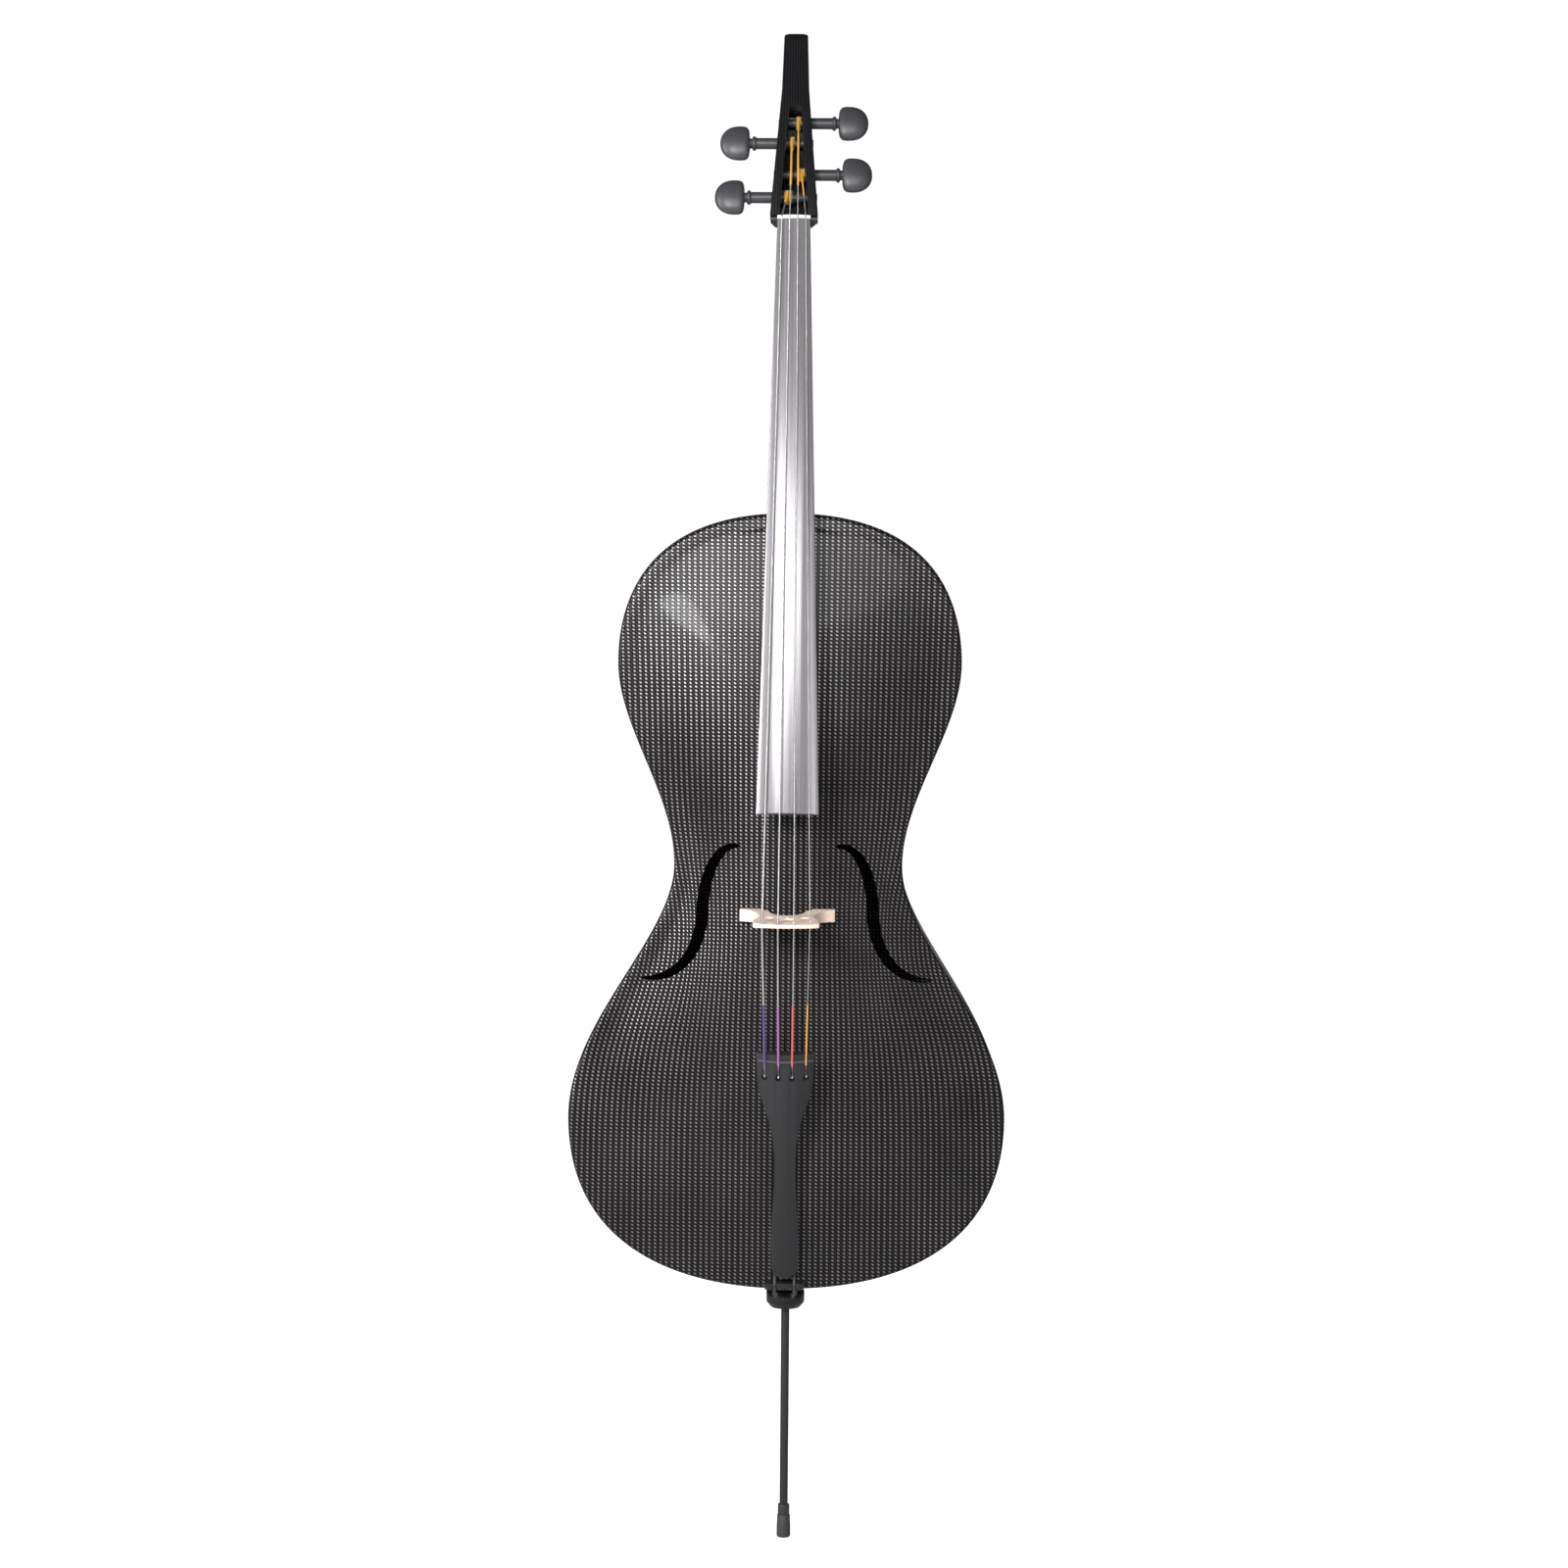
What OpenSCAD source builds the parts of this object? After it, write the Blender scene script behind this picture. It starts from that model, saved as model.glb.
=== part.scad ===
// Full-size cello with a smooth-waisted carbon fibre body and a plain tapered head.
// +Z runs up the instrument, the strings face -Y, and the origin is the underside of the rubber foot.

/* [Sound box] */
// Length of the sound box
body_len = 757; // [625:1:915]
// Height of the sound box's lower end above the foot
body_z = 260; // [215:1:340]
// Width across the lower bout
lower_w = 426; // [350:1:515]
// Width across the waist
waist_w = 222; // [180:1:270]
// Width across the upper bout
upper_w = 334; // [275:1:405]
// Height of the widest part of the lower bout above the sound box's lower end
lower_h = 167; // [140:1:200]
// Height of the narrowest part of the waist
waist_h = 415; // [360:1:450]
// Height of the widest part of the upper bout
upper_h = 612; // [540:1:620]
// Depth of the ribs between the two plates
rib_depth = 118; // [96:1:144]
// Wall of the moulded back and ribs
wall = 3; // [2.4:0.1:4]
// Rounding where the ribs turn into the back
back_round = 12; // [10:0.5:16]
// Rounding of the top plate's edge
edge_round = 5; // [4:0.5:6]
// Thickness of the top plate
plate_t = 3; // [2.4:0.1:4]
// Rise of the top plate's arch
top_arch = 20; // [16:1:24]
// Rise of the back's arch
back_arch = 18; // [14:1:22]

/* [Sound holes] */
// Widest opening of a sound hole
hole_w = 12; // [9:0.5:15]
// Distance of the upper tips from the centre line
hole_top_x = 45; // [40:1:50]
// Distance of the lower tips from the centre line
hole_low_x = 144; // [130:1:150]
// Rise of the upper tips above the bridge
hole_up = 72; // [60:1:80]
// Drop of the lower tips below the bridge
hole_down = 57.5; // [45:0.5:65]

/* [Bridge and strings] */
// Height of the bridge's foot line above the sound box's lower end
bridge_at = 362; // [340:1:380]
// Height of the bridge above the top plate's crown
bridge_h = 88; // [74:1:105]
// Width across the bridge's feet
bridge_w = 92; // [80:1:104]
// Thickness of the bridge at its feet
bridge_t = 12; // [10:0.5:14]
// Thickness of the bridge at its crown
crown_t = 3; // [2.5:0.1:4]
// Distance between neighbouring strings at the bridge
string_gap = 15; // [13:0.1:17.5]
// Distance between neighbouring strings at the nut
nut_gap = 7.75; // [6.8:0.05:8.6]
// Distance between neighbouring strings at the tailpiece
tail_gap = 13.2; // [11.5:0.1:14.4]
// Diameter of the thickest string
string_d_low = 1.8; // [1.5:0.1:2]
// Diameter of the thinnest string
string_d_high = 0.9; // [0.8:0.05:1.2]
// Length of string between the bridge and the tailpiece
after_len = 137; // [120:1:150]

/* [Neck and head] */
// Length of the neck from the sound box to the nut
neck_len = 286.5; // [250:0.5:320]
// Lean of the fingerboard out of the sound box's plane
neck_angle = 10; // [9:0.1:11]
// Length of the fingerboard
board_len = 583; // [490:1:600]
// Width of the fingerboard at the nut
board_w_nut = 32; // [29:0.5:36]
// Width of the fingerboard at its lower end
board_w_end = 60; // [54:0.5:66]
// Radius of the fingerboard's playing surface
board_r = 62; // [52:1:74]
// Thickness of the fingerboard's sides
board_side = 6; // [5:0.5:8]
// Height of the strings over the fingerboard's lower end
action = 5.6; // [5:0.1:9]
// Thickness of the neck behind the fingerboard at the nut
neck_t = 17; // [14:0.5:21]
// Thickness of the nut along the strings
nut_t = 3; // [2.5:0.1:4]
// Backward lean of the head
head_angle = 18; // [16:0.5:20]
// Length of the head
head_len = 198; // [175:1:230]
// Width of the head at the nut
head_w = 46.8; // [44:0.1:52]
// Depth of the head at the nut
head_t = 40; // [37:1:46]
// Wall of the string box in the head
box_wall = 9; // [7:0.5:10]

/* [Pegs] */
// Diameter of a peg's shank
peg_d = 11; // [9:0.1:12]
// Diameter of a peg's far end
peg_tip_d = 8; // [6.5:0.1:8.5]
// Clearance round a turning peg
peg_gap = 0.05; // [0.03:0.01:0.1]
// Distance from the head's side to a peg's collar
peg_reach = 23; // [19:0.5:27]
// Width of a peg's thumb piece
thumb_w = 36; // [30:0.5:38]
// Length of a peg's thumb piece
thumb_l = 29.5; // [24:0.5:33]
// Thickness of a peg's thumb piece
thumb_t = 17; // [14:0.5:20]

/* [Tailpiece] */
// Length of the tailpiece below its fret
tail_len = 227; // [190:1:228]
// Width of the tailpiece at its fret
tail_w = 55; // [50:0.5:62]
// Width of the tailpiece at its slimmest point
tail_slim = 19.6; // [17:0.1:23]
// Thickness of the tailpiece
tail_t = 11; // [9:0.5:13]
// Diameter of the tail cord
cord_d = 3; // [2.5:0.1:3.4]

/* [Endpin] */
// Diameter of the endpin's rod
pin_d = 8.3; // [7:0.1:10]
// Length of the endpin's rod
pin_len = 500; // [420:1:560]
// Clearance round the sliding rod
pin_gap = 0.06; // [0.03:0.01:0.1]
// Outer diameter of the lock ring
ring_d = 38; // [33:0.5:45]
// Height of the lock ring
ring_h = 20; // [18:0.5:21]
// Diameter of the rubber foot
foot_d = 13.8; // [13:0.1:16.5]
// Height of the rubber foot
foot_h = 23; // [20:0.5:27]

/* [Hidden] */
$fn = 96;

// Fullness of the outline's curves: how far each curve runs straight on from its widest points
bottom_full = 118;
lower_fall = 119;
lower_rise = 95;
waist_fall = 71;
waist_rise = 68;
upper_fall = 64;
upper_rise = 70;
top_full = 132;

curve_steps = 13;       // straight steps in each curve of the outline
cols = 18;              // strips across an arched plate
long_power = 3;         // how flat the arch stays along the body
long_blend = 1.2;
cross_blend = 1.4;      // how softly the arch meets the edge
flat_edge = 14;         // width of the top plate's flat edge
glue_w = 10;            // width of the top plate's flat underside at the edge

joint_y = -rib_depth/2;                       // plane where the top plate meets the ribs
back_flat = rib_depth/2 + wall;               // depth of the back's edge plane
plate_flat = rib_depth/2 + edge_round;        // depth of the top plate's edge plane
crown_y = -(plate_flat + top_arch);           // front of the top plate's arch
body_top = body_z + body_len;

bridge_z = body_z + bridge_at;                // tail-side face of the bridge
contact_z = bridge_z + crown_t/2;             // where the strings cross the bridge
contact_y = crown_y - bridge_h;
end_share = board_len*cos(neck_angle)/(body_top + neck_len - contact_z);
nut_z = body_top + neck_len;                  // fingerboard's end at the nut
nut_lift = 0.9;                               // strings over the fingerboard at the nut
board_gap = nut_lift + (action - nut_lift)/end_share;        // fingerboard's line behind the bridge's crown
board_y = contact_y + board_gap + (nut_z - contact_z)*tan(neck_angle);   // fingerboard's surface at the nut
string_r = [string_d_low/2, 0.75, 0.6, string_d_high/2];
notch_gap = 0.05;                             // air round a string in its notch
silk_t = 0.25;                                // thickness of the silk wrapping
STRINGS = [0, 1, 2, 3];                       // low C, G, D and A, from left to right

saddle_h = 9;
saddle_w = 38;
saddle_t = 9;
saddle_rise = 0.6;                            // follows the curve of the lower end
seat_gap = 0.05;
saddle_groove = 3.2;                          // depth of the two grooves that the tail cord lies in
cord_r = cord_d/2;
cord_x = 9.5;                                 // half the spacing of the tail cord's two strands

// Outline of the sound box, from the lower end's middle up its right side to the upper end's middle
function bez(p, t) = p[0]*pow(1 - t, 3) + 3*p[1]*t*pow(1 - t, 2) + 3*p[2]*t*t*(1 - t) + p[3]*pow(t, 3);
half_curves = [
    [[0, 0], [bottom_full, 0], [lower_w/2, lower_h - lower_fall], [lower_w/2, lower_h]],
    [[lower_w/2, lower_h], [lower_w/2, lower_h + lower_rise], [waist_w/2, waist_h - waist_fall],
        [waist_w/2, waist_h]],
    [[waist_w/2, waist_h], [waist_w/2, waist_h + waist_rise], [upper_w/2, upper_h - upper_fall],
        [upper_w/2, upper_h]],
    [[upper_w/2, upper_h], [upper_w/2, upper_h + upper_rise], [top_full, body_len], [0, body_len]]];
half_pts = concat([for (c = half_curves) for (k = [0:curve_steps - 1]) bez(c, k/curve_steps)],
    [[0, body_len]]);
rows = len(half_pts) - 1;
function heading(i) = i == 0 ? [1, 0] : i == rows ? [-1, 0] : half_pts[i + 1] - half_pts[i - 1];
function inset(i, d) = let (h = heading(i)) half_pts[i] + d*[-h.y, h.x]/norm(h);
function loop_pt(k, d) = k <= rows ? inset(k, d) : let (p = inset(2*rows - k, d)) [-p.x, p.y];
function outline(d) = [for (k = [0:2*rows - 1]) loop_pt(k, d)];

// Arched surface: a border ring [inset, depth] filled by rows that run from side to side
function rise(h, u) = pow(1 - pow(abs(2*h/body_len - 1), long_power), long_blend)*pow(1 - u*u, cross_blend);
function arch_pt(ring, arch, i, j) = let (p = inset(i, ring[0]), u = 2*j/cols - 1)
    [u*p.x, -ring[1] - arch*rise(p.y, u), body_z + p.y];

module along_x(length) {
    translate([-length/2, 0, 0]) rotate([90, 0, 90]) linear_extrude(length) children();
}

module along_y(y0, y1) {
    translate([0, y1, 0]) rotate([90, 0, 0]) linear_extrude(y1 - y0) children();
}

// A closed skin: rings of outline from the outer arch's border round the rim to the inner arch's border
module arched_shell(rings, arch) {
    n = 2*rows;
    last = len(rings) - 1;
    grid = (rows - 1)*(cols - 1);
    start = len(rings)*n;
    points = concat(
        [for (r = rings) for (k = [0:n - 1]) let (p = loop_pt(k, r[0])) [p.x, -r[1], body_z + p.y]],
        [for (r = [rings[0], rings[last]]) for (i = [1:rows - 1]) for (j = [1:cols - 1])
            arch_pt(r, arch, i, j)]);
    function id(side, i, j) = i == 0 ? side*last*n : i == rows ? side*last*n + rows
        : j == 0 ? side*last*n + n - i : j == cols ? side*last*n + i
        : start + side*grid + (i - 1)*(cols - 1) + j - 1;
    strips = [for (r = [0:last - 1]) for (k = [0:n - 1]) let (m = (k + 1)%n)
        each [[r*n + k, r*n + m, r*n + n + m], [r*n + k, r*n + n + m, r*n + n + k]]];
    function patch(side) = [for (i = [0:rows - 1]) for (j = [0:cols - 1])
        let (a = id(side, i, j), b = id(side, i + 1, j), c = id(side, i + 1, j + 1), d = id(side, i, j + 1))
        each [if (b != c) [a, b, c], if (a != d) [a, c, d]]];
    inner = [for (f = patch(1)) [f[2], f[1], f[0]]];
    polyhedron(points, concat(strips, patch(0), inner), convexity = 10);
}

// The space between a patch of an arched surface, rows i0 to i1 and strips j0 to j1, and depth far
module beyond_arch(ring, arch, i0, i1, j0, j1, far) {
    m = j1 - j0 + 1;
    n = (i1 - i0 + 1)*m;
    near_pts = [for (i = [i0:i1]) for (j = [j0:j1]) arch_pt(ring, arch, i, j)];
    points = concat(near_pts, [for (p = near_pts) [p.x, -far, p.z]]);
    function at(i, j) = (i - i0)*m + j - j0;
    skin = [for (i = [i0:i1 - 1]) for (j = [j0:j1 - 1])
        each [[at(i, j), at(i + 1, j + 1), at(i + 1, j)], [at(i, j), at(i, j + 1), at(i + 1, j + 1)]]];
    back = [for (f = skin) [f[2] + n, f[1] + n, f[0] + n]];
    edge = concat([for (j = [j0:j1 - 1]) [at(i0, j), at(i0, j + 1)]],
        [for (i = [i0:i1 - 1]) [at(i, j1), at(i + 1, j1)]],
        [for (j = [j1:-1:j0 + 1]) [at(i1, j), at(i1, j - 1)]],
        [for (i = [i1:-1:i0 + 1]) [at(i, j0), at(i - 1, j0)]]);
    side = [for (e = edge) [e[1], e[0], e[0] + n, e[1] + n]];
    faces = concat(skin, back, side);
    inward = far < ring[1];
    polyhedron(points, inward ? [for (f = faces) [for (k = [len(f) - 1:-1:0]) f[k]]] : faces, convexity = 6);
}

// Loft through closed sections with the same number of points
module loft(sections) {
    m = len(sections[0]);
    n = len(sections);
    points = [for (s = sections) each s];
    walls = [for (i = [0:n - 2]) for (k = [0:m - 1]) let (q = (k + 1)%m)
        each [[i*m + k, i*m + q, i*m + m + q], [i*m + k, i*m + m + q, i*m + m + k]]];
    polyhedron(points, concat(walls, [[for (k = [m - 1:-1:0]) k]], [[for (k = [0:m - 1]) (n - 1)*m + k]]),
        convexity = 6);
}

// Row of the outline nearest a height
function row_at(h) = let (near = [for (i = [1:rows - 1]) if (half_pts[i].y <= h) i]) max(near);

top_border = [flat_edge, plate_flat];
top_under = [flat_edge, plate_flat - plate_t];
back_border = [back_round, back_flat];
back_under = [back_round, back_flat - wall];

module back_shell() {
    outer = [for (a = [0:22.5:90]) [back_round*(1 - sin(a)), back_flat - back_round*(1 - cos(a))]];
    r = back_round - wall;
    inner = [for (a = [90:-22.5:0]) [back_round - r*sin(a), back_flat - back_round + r*cos(a)]];
    color([0.09, 0.09, 0.1]) difference() {
        mirror([0, 1, 0]) arched_shell(concat(outer, [[0, joint_y], [wall, joint_y]], inner), back_arch);
        plug_bore();
    }
}

// Bore for the endpin's bushing through the ribs and the end block
plug_r = 13;
bore_reach = 10;

module plug_bore() {
    translate([0, 0, body_z - bore_reach]) cylinder(h = block_t + 2*bore_reach, r = plug_r);
}

// A sound hole's middle line: two curves, the lengths of whose handles set how full they are
hole_mid_x = 83;
hole_mid_up = 7.5;
top_hook = [26, 5.5];
low_hook = [-42.5, -4];
mid_lean = 0.026;                             // slope of the line at its middle
mid_up = 30;
mid_down = 33;
function s_curve(t) = let (top = [hole_top_x, hole_up], low = [hole_low_x, -hole_down],
    mid = [hole_mid_x, hole_mid_up]) t < 0.5
    ? bez([top, top + top_hook, mid + mid_up*[-mid_lean, 1], mid], 2*t)
    : bez([mid, mid + mid_down*[mid_lean, -1], low + low_hook, low], 2*t - 1);
hole_steps = 24;

function hole_edge(side) = [for (k = [1:hole_steps - 1]) let (t = k/hole_steps,
    h = s_curve(t + 0.01) - s_curve(t - 0.01), w = hole_w/2*pow(sin(180*t), 0.6))
    s_curve(t) + side*w*[-h.y, h.x]/norm(h)];

module sound_hole() {
    e = hole_edge(1);
    f = hole_edge(-1);
    translate([0, 0, bridge_z]) along_y(crown_y - 5, joint_y + 5)
        polygon(concat([s_curve(0)], e, [s_curve(1)], [for (k = [len(f) - 1:-1:0]) f[k]]));
}

module top_plate() {
    rim = [for (a = [0:30:90]) [edge_round*(1 - sin(a)), rib_depth/2 + edge_round*cos(a)]];
    color([0.1, 0.1, 0.11]) difference() {
        arched_shell(concat([top_border], rim, [[glue_w, rib_depth/2], top_under]), top_arch);
        sound_hole();
        mirror([1, 0, 0]) sound_hole();
        saddle_seat();
    }
}

lining_w = 7;
lining_h = 12;
block_w = 64;
block_t = 26;

module end_zone(low) {
    z = low ? body_z - 1 : body_top - wall - block_t;
    translate([-block_w/2, joint_y - 1, z]) cube([block_w, rib_depth + 2, wall + block_t + 1]);
}

module rim_lining() {
    color([0.75, 0.6, 0.4]) difference() {
        translate([0, 0, body_z]) along_y(joint_y, joint_y + lining_h) difference() {
            polygon(outline(wall));
            polygon(outline(wall + lining_w));
        }
        end_zone(true);
        end_zone(false);
    }
}

module block(low) {
    straight = rib_depth/2 + wall - back_round;
    intersection() {
        translate([0, 0, body_z]) along_y(joint_y, straight) polygon(outline(wall));
        end_zone(low);
    }
}

module neck_block() { color([0.8, 0.68, 0.5]) block(false); }

module end_block() {
    color([0.8, 0.68, 0.5]) difference() {
        block(true);
        plug_bore();
    }
}

bar_x = -22;
bar_t = 8;
bar_h = 20;
bar_low = 130;
bar_high = 590;

module bass_bar() {
    i0 = row_at(bar_low) - 1;
    i1 = row_at(bar_high) + 2;
    y0 = crown_y + plate_t;
    color([0.85, 0.72, 0.52]) difference() {
        translate([bar_x, 0, body_z]) along_x(bar_t) polygon([
            [crown_y - 1, bar_low], [crown_y - 1, bar_high], [y0 + 8, bar_high], [y0 + bar_h, bar_high - 150],
            [y0 + bar_h, bar_low + 150], [y0 + 8, bar_low]]);
        beyond_arch(top_under, top_arch, i0, i1, 4, 12, -crown_y + 3);
    }
}

post_x = 25;
post_d = 11;
post_drop = 12;

module sound_post() {
    h = bridge_at - post_drop;
    i0 = row_at(h) - 2;
    i1 = row_at(h) + 3;
    color([0.88, 0.76, 0.56]) difference() {
        translate([post_x, crown_y, body_z + h]) rotate([-90, 0, 0])
            cylinder(h = -crown_y + back_flat + back_arch, d = post_d);
        beyond_arch(top_under, top_arch, i0, i1, 8, 14, -crown_y + 3);
        mirror([0, 1, 0]) beyond_arch(back_under, back_arch, i0, i1, 8, 14, back_flat + back_arch + 3);
    }
}

// Frames that carry the fingerboard, the head and the tailpiece
function turn_x(p, a) = [p.x, p.y*cos(a) - p.z*sin(a), p.y*sin(a) + p.z*cos(a)];
board_at = [0, board_y, nut_z];
function board_pt(p) = board_at + turn_x(p, -neck_angle);
head_at = board_pt([0, 0, nut_t]);
function head_pt(p) = head_at + turn_x(p, -head_angle);
saddle_y = -(plate_flat + saddle_h);
saddle_z = body_z + saddle_t/2;
tail_angle = atan2(saddle_y - contact_y, contact_z - saddle_z);
tail_at = [0, contact_y, contact_z] + turn_x([0, 0, -after_len], tail_angle);
function tail_pt(p) = tail_at + turn_x(p, tail_angle);

module board_frame() { translate(board_at) rotate([-neck_angle, 0, 0]) children(); }
module head_frame() { translate(head_at) rotate([-head_angle, 0, 0]) children(); }
module tail_frame() { translate(tail_at) rotate([tail_angle, 0, 0]) children(); }

function drop(x, r) = r - sqrt(r*r - x*x);
board_t_nut = board_side + drop(board_w_nut/2, board_r);
board_t_end = board_side + drop(board_w_end/2, board_r);

module fingerboard() {
    color([0.16, 0.16, 0.17]) board_frame() intersection() {
        translate([0, board_r, -board_len]) cylinder(h = board_len, r = board_r, $fn = 180);
        along_y(-1, board_t_end + 2) polygon([[-board_w_nut/2, 0], [board_w_nut/2, 0],
            [board_w_end/2, -board_len], [-board_w_end/2, -board_len]]);
        along_x(board_w_end + 2) polygon([[-1, 0], [board_t_nut, 0], [board_t_end, -board_len],
            [-1, -board_len]]);
    }
}

// Where each string runs, from its ball in the tailpiece to its peg
function across(k, gap) = (k - 1.5)*gap;
bridge_r = board_r;
fret_h = 1.6;
function bridge_pt(k) = let (x = across(k, string_gap)) [x, contact_y + drop(x, bridge_r), contact_z];
function nut_pt(k) = let (x = across(k, nut_gap)) board_pt([x, -nut_lift + drop(x, board_r), nut_t/2]);
function fret_pt(k) = let (x = across(k, tail_gap)) tail_pt([x, -fret_h + drop(x, board_r), 0]);
ball_drop = 4.5;
ball_r = 2.1;
slot_end = 17.5;
function ball_pt(k) = let (x = across(k, tail_gap)) tail_pt([x, ball_drop + drop(x, board_r), -slot_end]);

// Pegs: height along the head, side of the thumb piece and middle of the winding, for C, G, D and A
peg_at = [26.3, 84.4, 106.3, 50.6];
peg_side = [-1, -1, 1, 1];
wind_mid = [-6.5, -3.2, 3, 6.5];
wind_l = [9, 5.5, 5.5, 7];
peg_depth = 17;
wind_r = peg_d/2 + 1.3;
wind_gap = 0.5;
function peg_pt(k, x) = head_pt([x, peg_depth, peg_at[k]]);
// Last point of the free string, just clear of its winding on the front of the peg
function wind_pt(k) = let (p = peg_pt(k, wind_mid[k]), n = nut_pt(k), r = wind_r + wind_gap + string_r[k],
    dy = p.y - n.y, dz = p.z - n.z, far = sqrt(dy*dy + dz*dz), a = atan2(dy, dz) - asin(r/far),
    reach = sqrt(far*far - r*r)) [p.x, n.y + reach*sin(a), n.z + reach*cos(a)];
function string_path(k) = [ball_pt(k), fret_pt(k), bridge_pt(k), nut_pt(k), wind_pt(k)];

bead = 1.03;                                  // a bend's rounding over the string's own radius

module rod_between(a, b, r) {
    d = b - a;
    translate(a) rotate([0, acos(d.z/norm(d)), atan2(d.y, d.x)]) cylinder(h = norm(d), r = r, $fn = 24);
}

module rod_path(points, r) {
    for (i = [0:len(points) - 2]) rod_between(points[i], points[i + 1], r);
    for (i = [1:len(points) - 2]) translate(points[i]) sphere(r = bead*r, $fn = 24);
}

// A notch that a bent string lies in: straight bores that each run a little past the bend
module notch(points, r) {
    for (i = [0:len(points) - 2]) let (u = unit(points[i + 1] - points[i]))
        rod_between(points[i] - 1.2*r*u, points[i + 1] + 1.2*r*u, r);
}

silk_tail = 58;

module cello_string(k) {
    p = string_path(k);
    along = (bridge_pt(k) - fret_pt(k))/norm(bridge_pt(k) - fret_pt(k));
    rod_path(p, string_r[k]);
    rod_between(p[1] + 3*along, p[1] + silk_tail*along, string_r[k] + silk_t);
    translate(p[0]) sphere(r = ball_r, $fn = 32);
}

module c_string() { color([0.75, 0.75, 0.78]) cello_string(0); }
module g_string() { color([0.75, 0.75, 0.78]) cello_string(1); }
module d_string() { color([0.75, 0.75, 0.78]) cello_string(2); }
module a_string() { color([0.75, 0.75, 0.78]) cello_string(3); }

module nut() {
    color([0.93, 0.91, 0.86]) difference() {
        board_frame() intersection() {
            translate([0, board_r, 0]) cylinder(h = nut_t, r = board_r + nut_lift, $fn = 180);
            translate([-board_w_nut/2, -2, 0]) cube([board_w_nut, board_t_nut + 2, nut_t]);
        }
        for (k = STRINGS) notch([bridge_pt(k), nut_pt(k), wind_pt(k)], string_r[k] + notch_gap);
    }
}

// Neck: level sections from the nut down to the heel, cut to sit on the ribs
heel_rise = 70;
heel_back = rib_depth/2 - 3;
neck_round = 12;
function board_under(z) = let (t = (nut_z - z)/cos(neck_angle)/board_len)
    board_y + (board_t_nut + (board_t_end - board_t_nut)*t)/cos(neck_angle) - (nut_z - z)*tan(neck_angle);
shoulder_h = 8;                               // height over which the neck widens to the head
function widening(z) = let (t = min(1, max(0, (z - nut_z + shoulder_h)/shoulder_h)))
    (head_w - board_w_nut - 0.6)*sqrt(1 - (1 - t)*(1 - t));
function neck_w(z) = widening(z)
    + board_w_nut + (board_w_end - board_w_nut)*(nut_z - z)/cos(neck_angle)/board_len;
function neck_back(z) = let (s = board_under(z) + neck_t + 8*(nut_z - z)/neck_len,
    t = min(1, max(0, (body_top + heel_rise - z)/heel_rise)))
    s + (heel_back - s)*(1 - sqrt(1 - t*t));
function neck_section(z) = let (w = neck_w(z)/2, y0 = board_under(z), d = neck_back(z) - y0)
    [for (a = [0:180/neck_round:180]) [w*cos(a), y0 + d*(0.25*min(1, sin(a)*4) + 0.75*sin(a)), z]];
neck_levels = concat([nut_z + 12, nut_z],
    [for (t = [0.7, 0.45, 0.25, 0.1, 0.02, 0]) nut_z - shoulder_h*(1 - t)], [nut_z - 40, nut_z - 90, nut_z - 140, body_top + heel_rise + 20],
    [for (a = [0:10:80]) body_top + heel_rise*(1 - sin(a))], [body_top, body_top - 6]);

module neck() {
    color([0.08, 0.08, 0.09]) difference() {
        loft([for (z = neck_levels) neck_section(z)]);
        translate([0, 0, body_z]) along_y(-rib_depth, rib_depth) polygon(outline(0));
        board_frame() translate([-40, -30, nut_t]) cube([80, 90, 40]);
        board_frame() translate([-40, -30, 0]) cube([80, 30 + board_t_nut, 20]);
    }
}

trough_low = 11;
trough_high = 116;
box_floor = 5;                                // wall behind the string box
chin_h = 16;                                  // height of the slope from the neck's back to the head's
head_levels = [[0, 0], [108.7, 8.1], [134.7, 10], [161, 10.9]];
head_round = 6;
head_tip_w = head_w/2 - 11.7;
head_thin = 22;
function head_half(z) = head_w/2 - lookup(z, head_levels);
function head_depth(z) = head_t + (head_thin - head_t)*z/head_len;

// Under the strings the box's lower wall slopes from the nut down to the box
function in_head(p) = turn_x(p - head_at, head_angle);
ramp_gap = 0.6;
function ramp(z) = let (a = in_head(nut_pt(0)), b = in_head(wind_pt(0)), slope = (b.y - a.y)/(b.z - a.z))
    a.y + slope*(z - a.z) + (string_r[0] + ramp_gap)*sqrt(1 + slope*slope);

module head_plan() {
    low = [for (p = head_levels) [head_w/2 - p[1], p[0]]];
    corner = [for (a = [0:15:90]) [head_tip_w - head_round*(1 - cos(a)), head_len - 4*(1 - sin(a))]];
    right = concat([[head_w/2, -20]], low, corner);
    polygon(concat(right, [for (k = [len(right) - 1:-1:0]) [-right[k].x, right[k].y]]));
}

module peg_bore(k) {
    translate([0, peg_depth, peg_at[k]]) rotate([0, 90*peg_side[k], 0]) {
        cylinder(h = 60, r = peg_d/2 + peg_gap);
        translate([0, 0, -60]) cylinder(h = 61, r = peg_tip_d/2 + peg_gap);
    }
}

module string_box() {
    inner = head_half(trough_low) - box_wall;
    outer = head_half(trough_high) - box_wall;
    intersection() {
        along_y(-2, head_t) polygon([[-inner, trough_low], [inner, trough_low],
            [outer, trough_high], [-outer, trough_high]]);
        along_x(head_w) polygon([[-2, 0], [head_depth(0) - box_floor, 0],
            [head_depth(trough_high) - box_floor, trough_high], [-2, trough_high + 1]]);
    }
    along_x(2*inner) polygon([[-2, -3], [ramp(-3), -3], [ramp(trough_low + 1), trough_low + 1],
        [-2, trough_low + 1]]);
}

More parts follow.
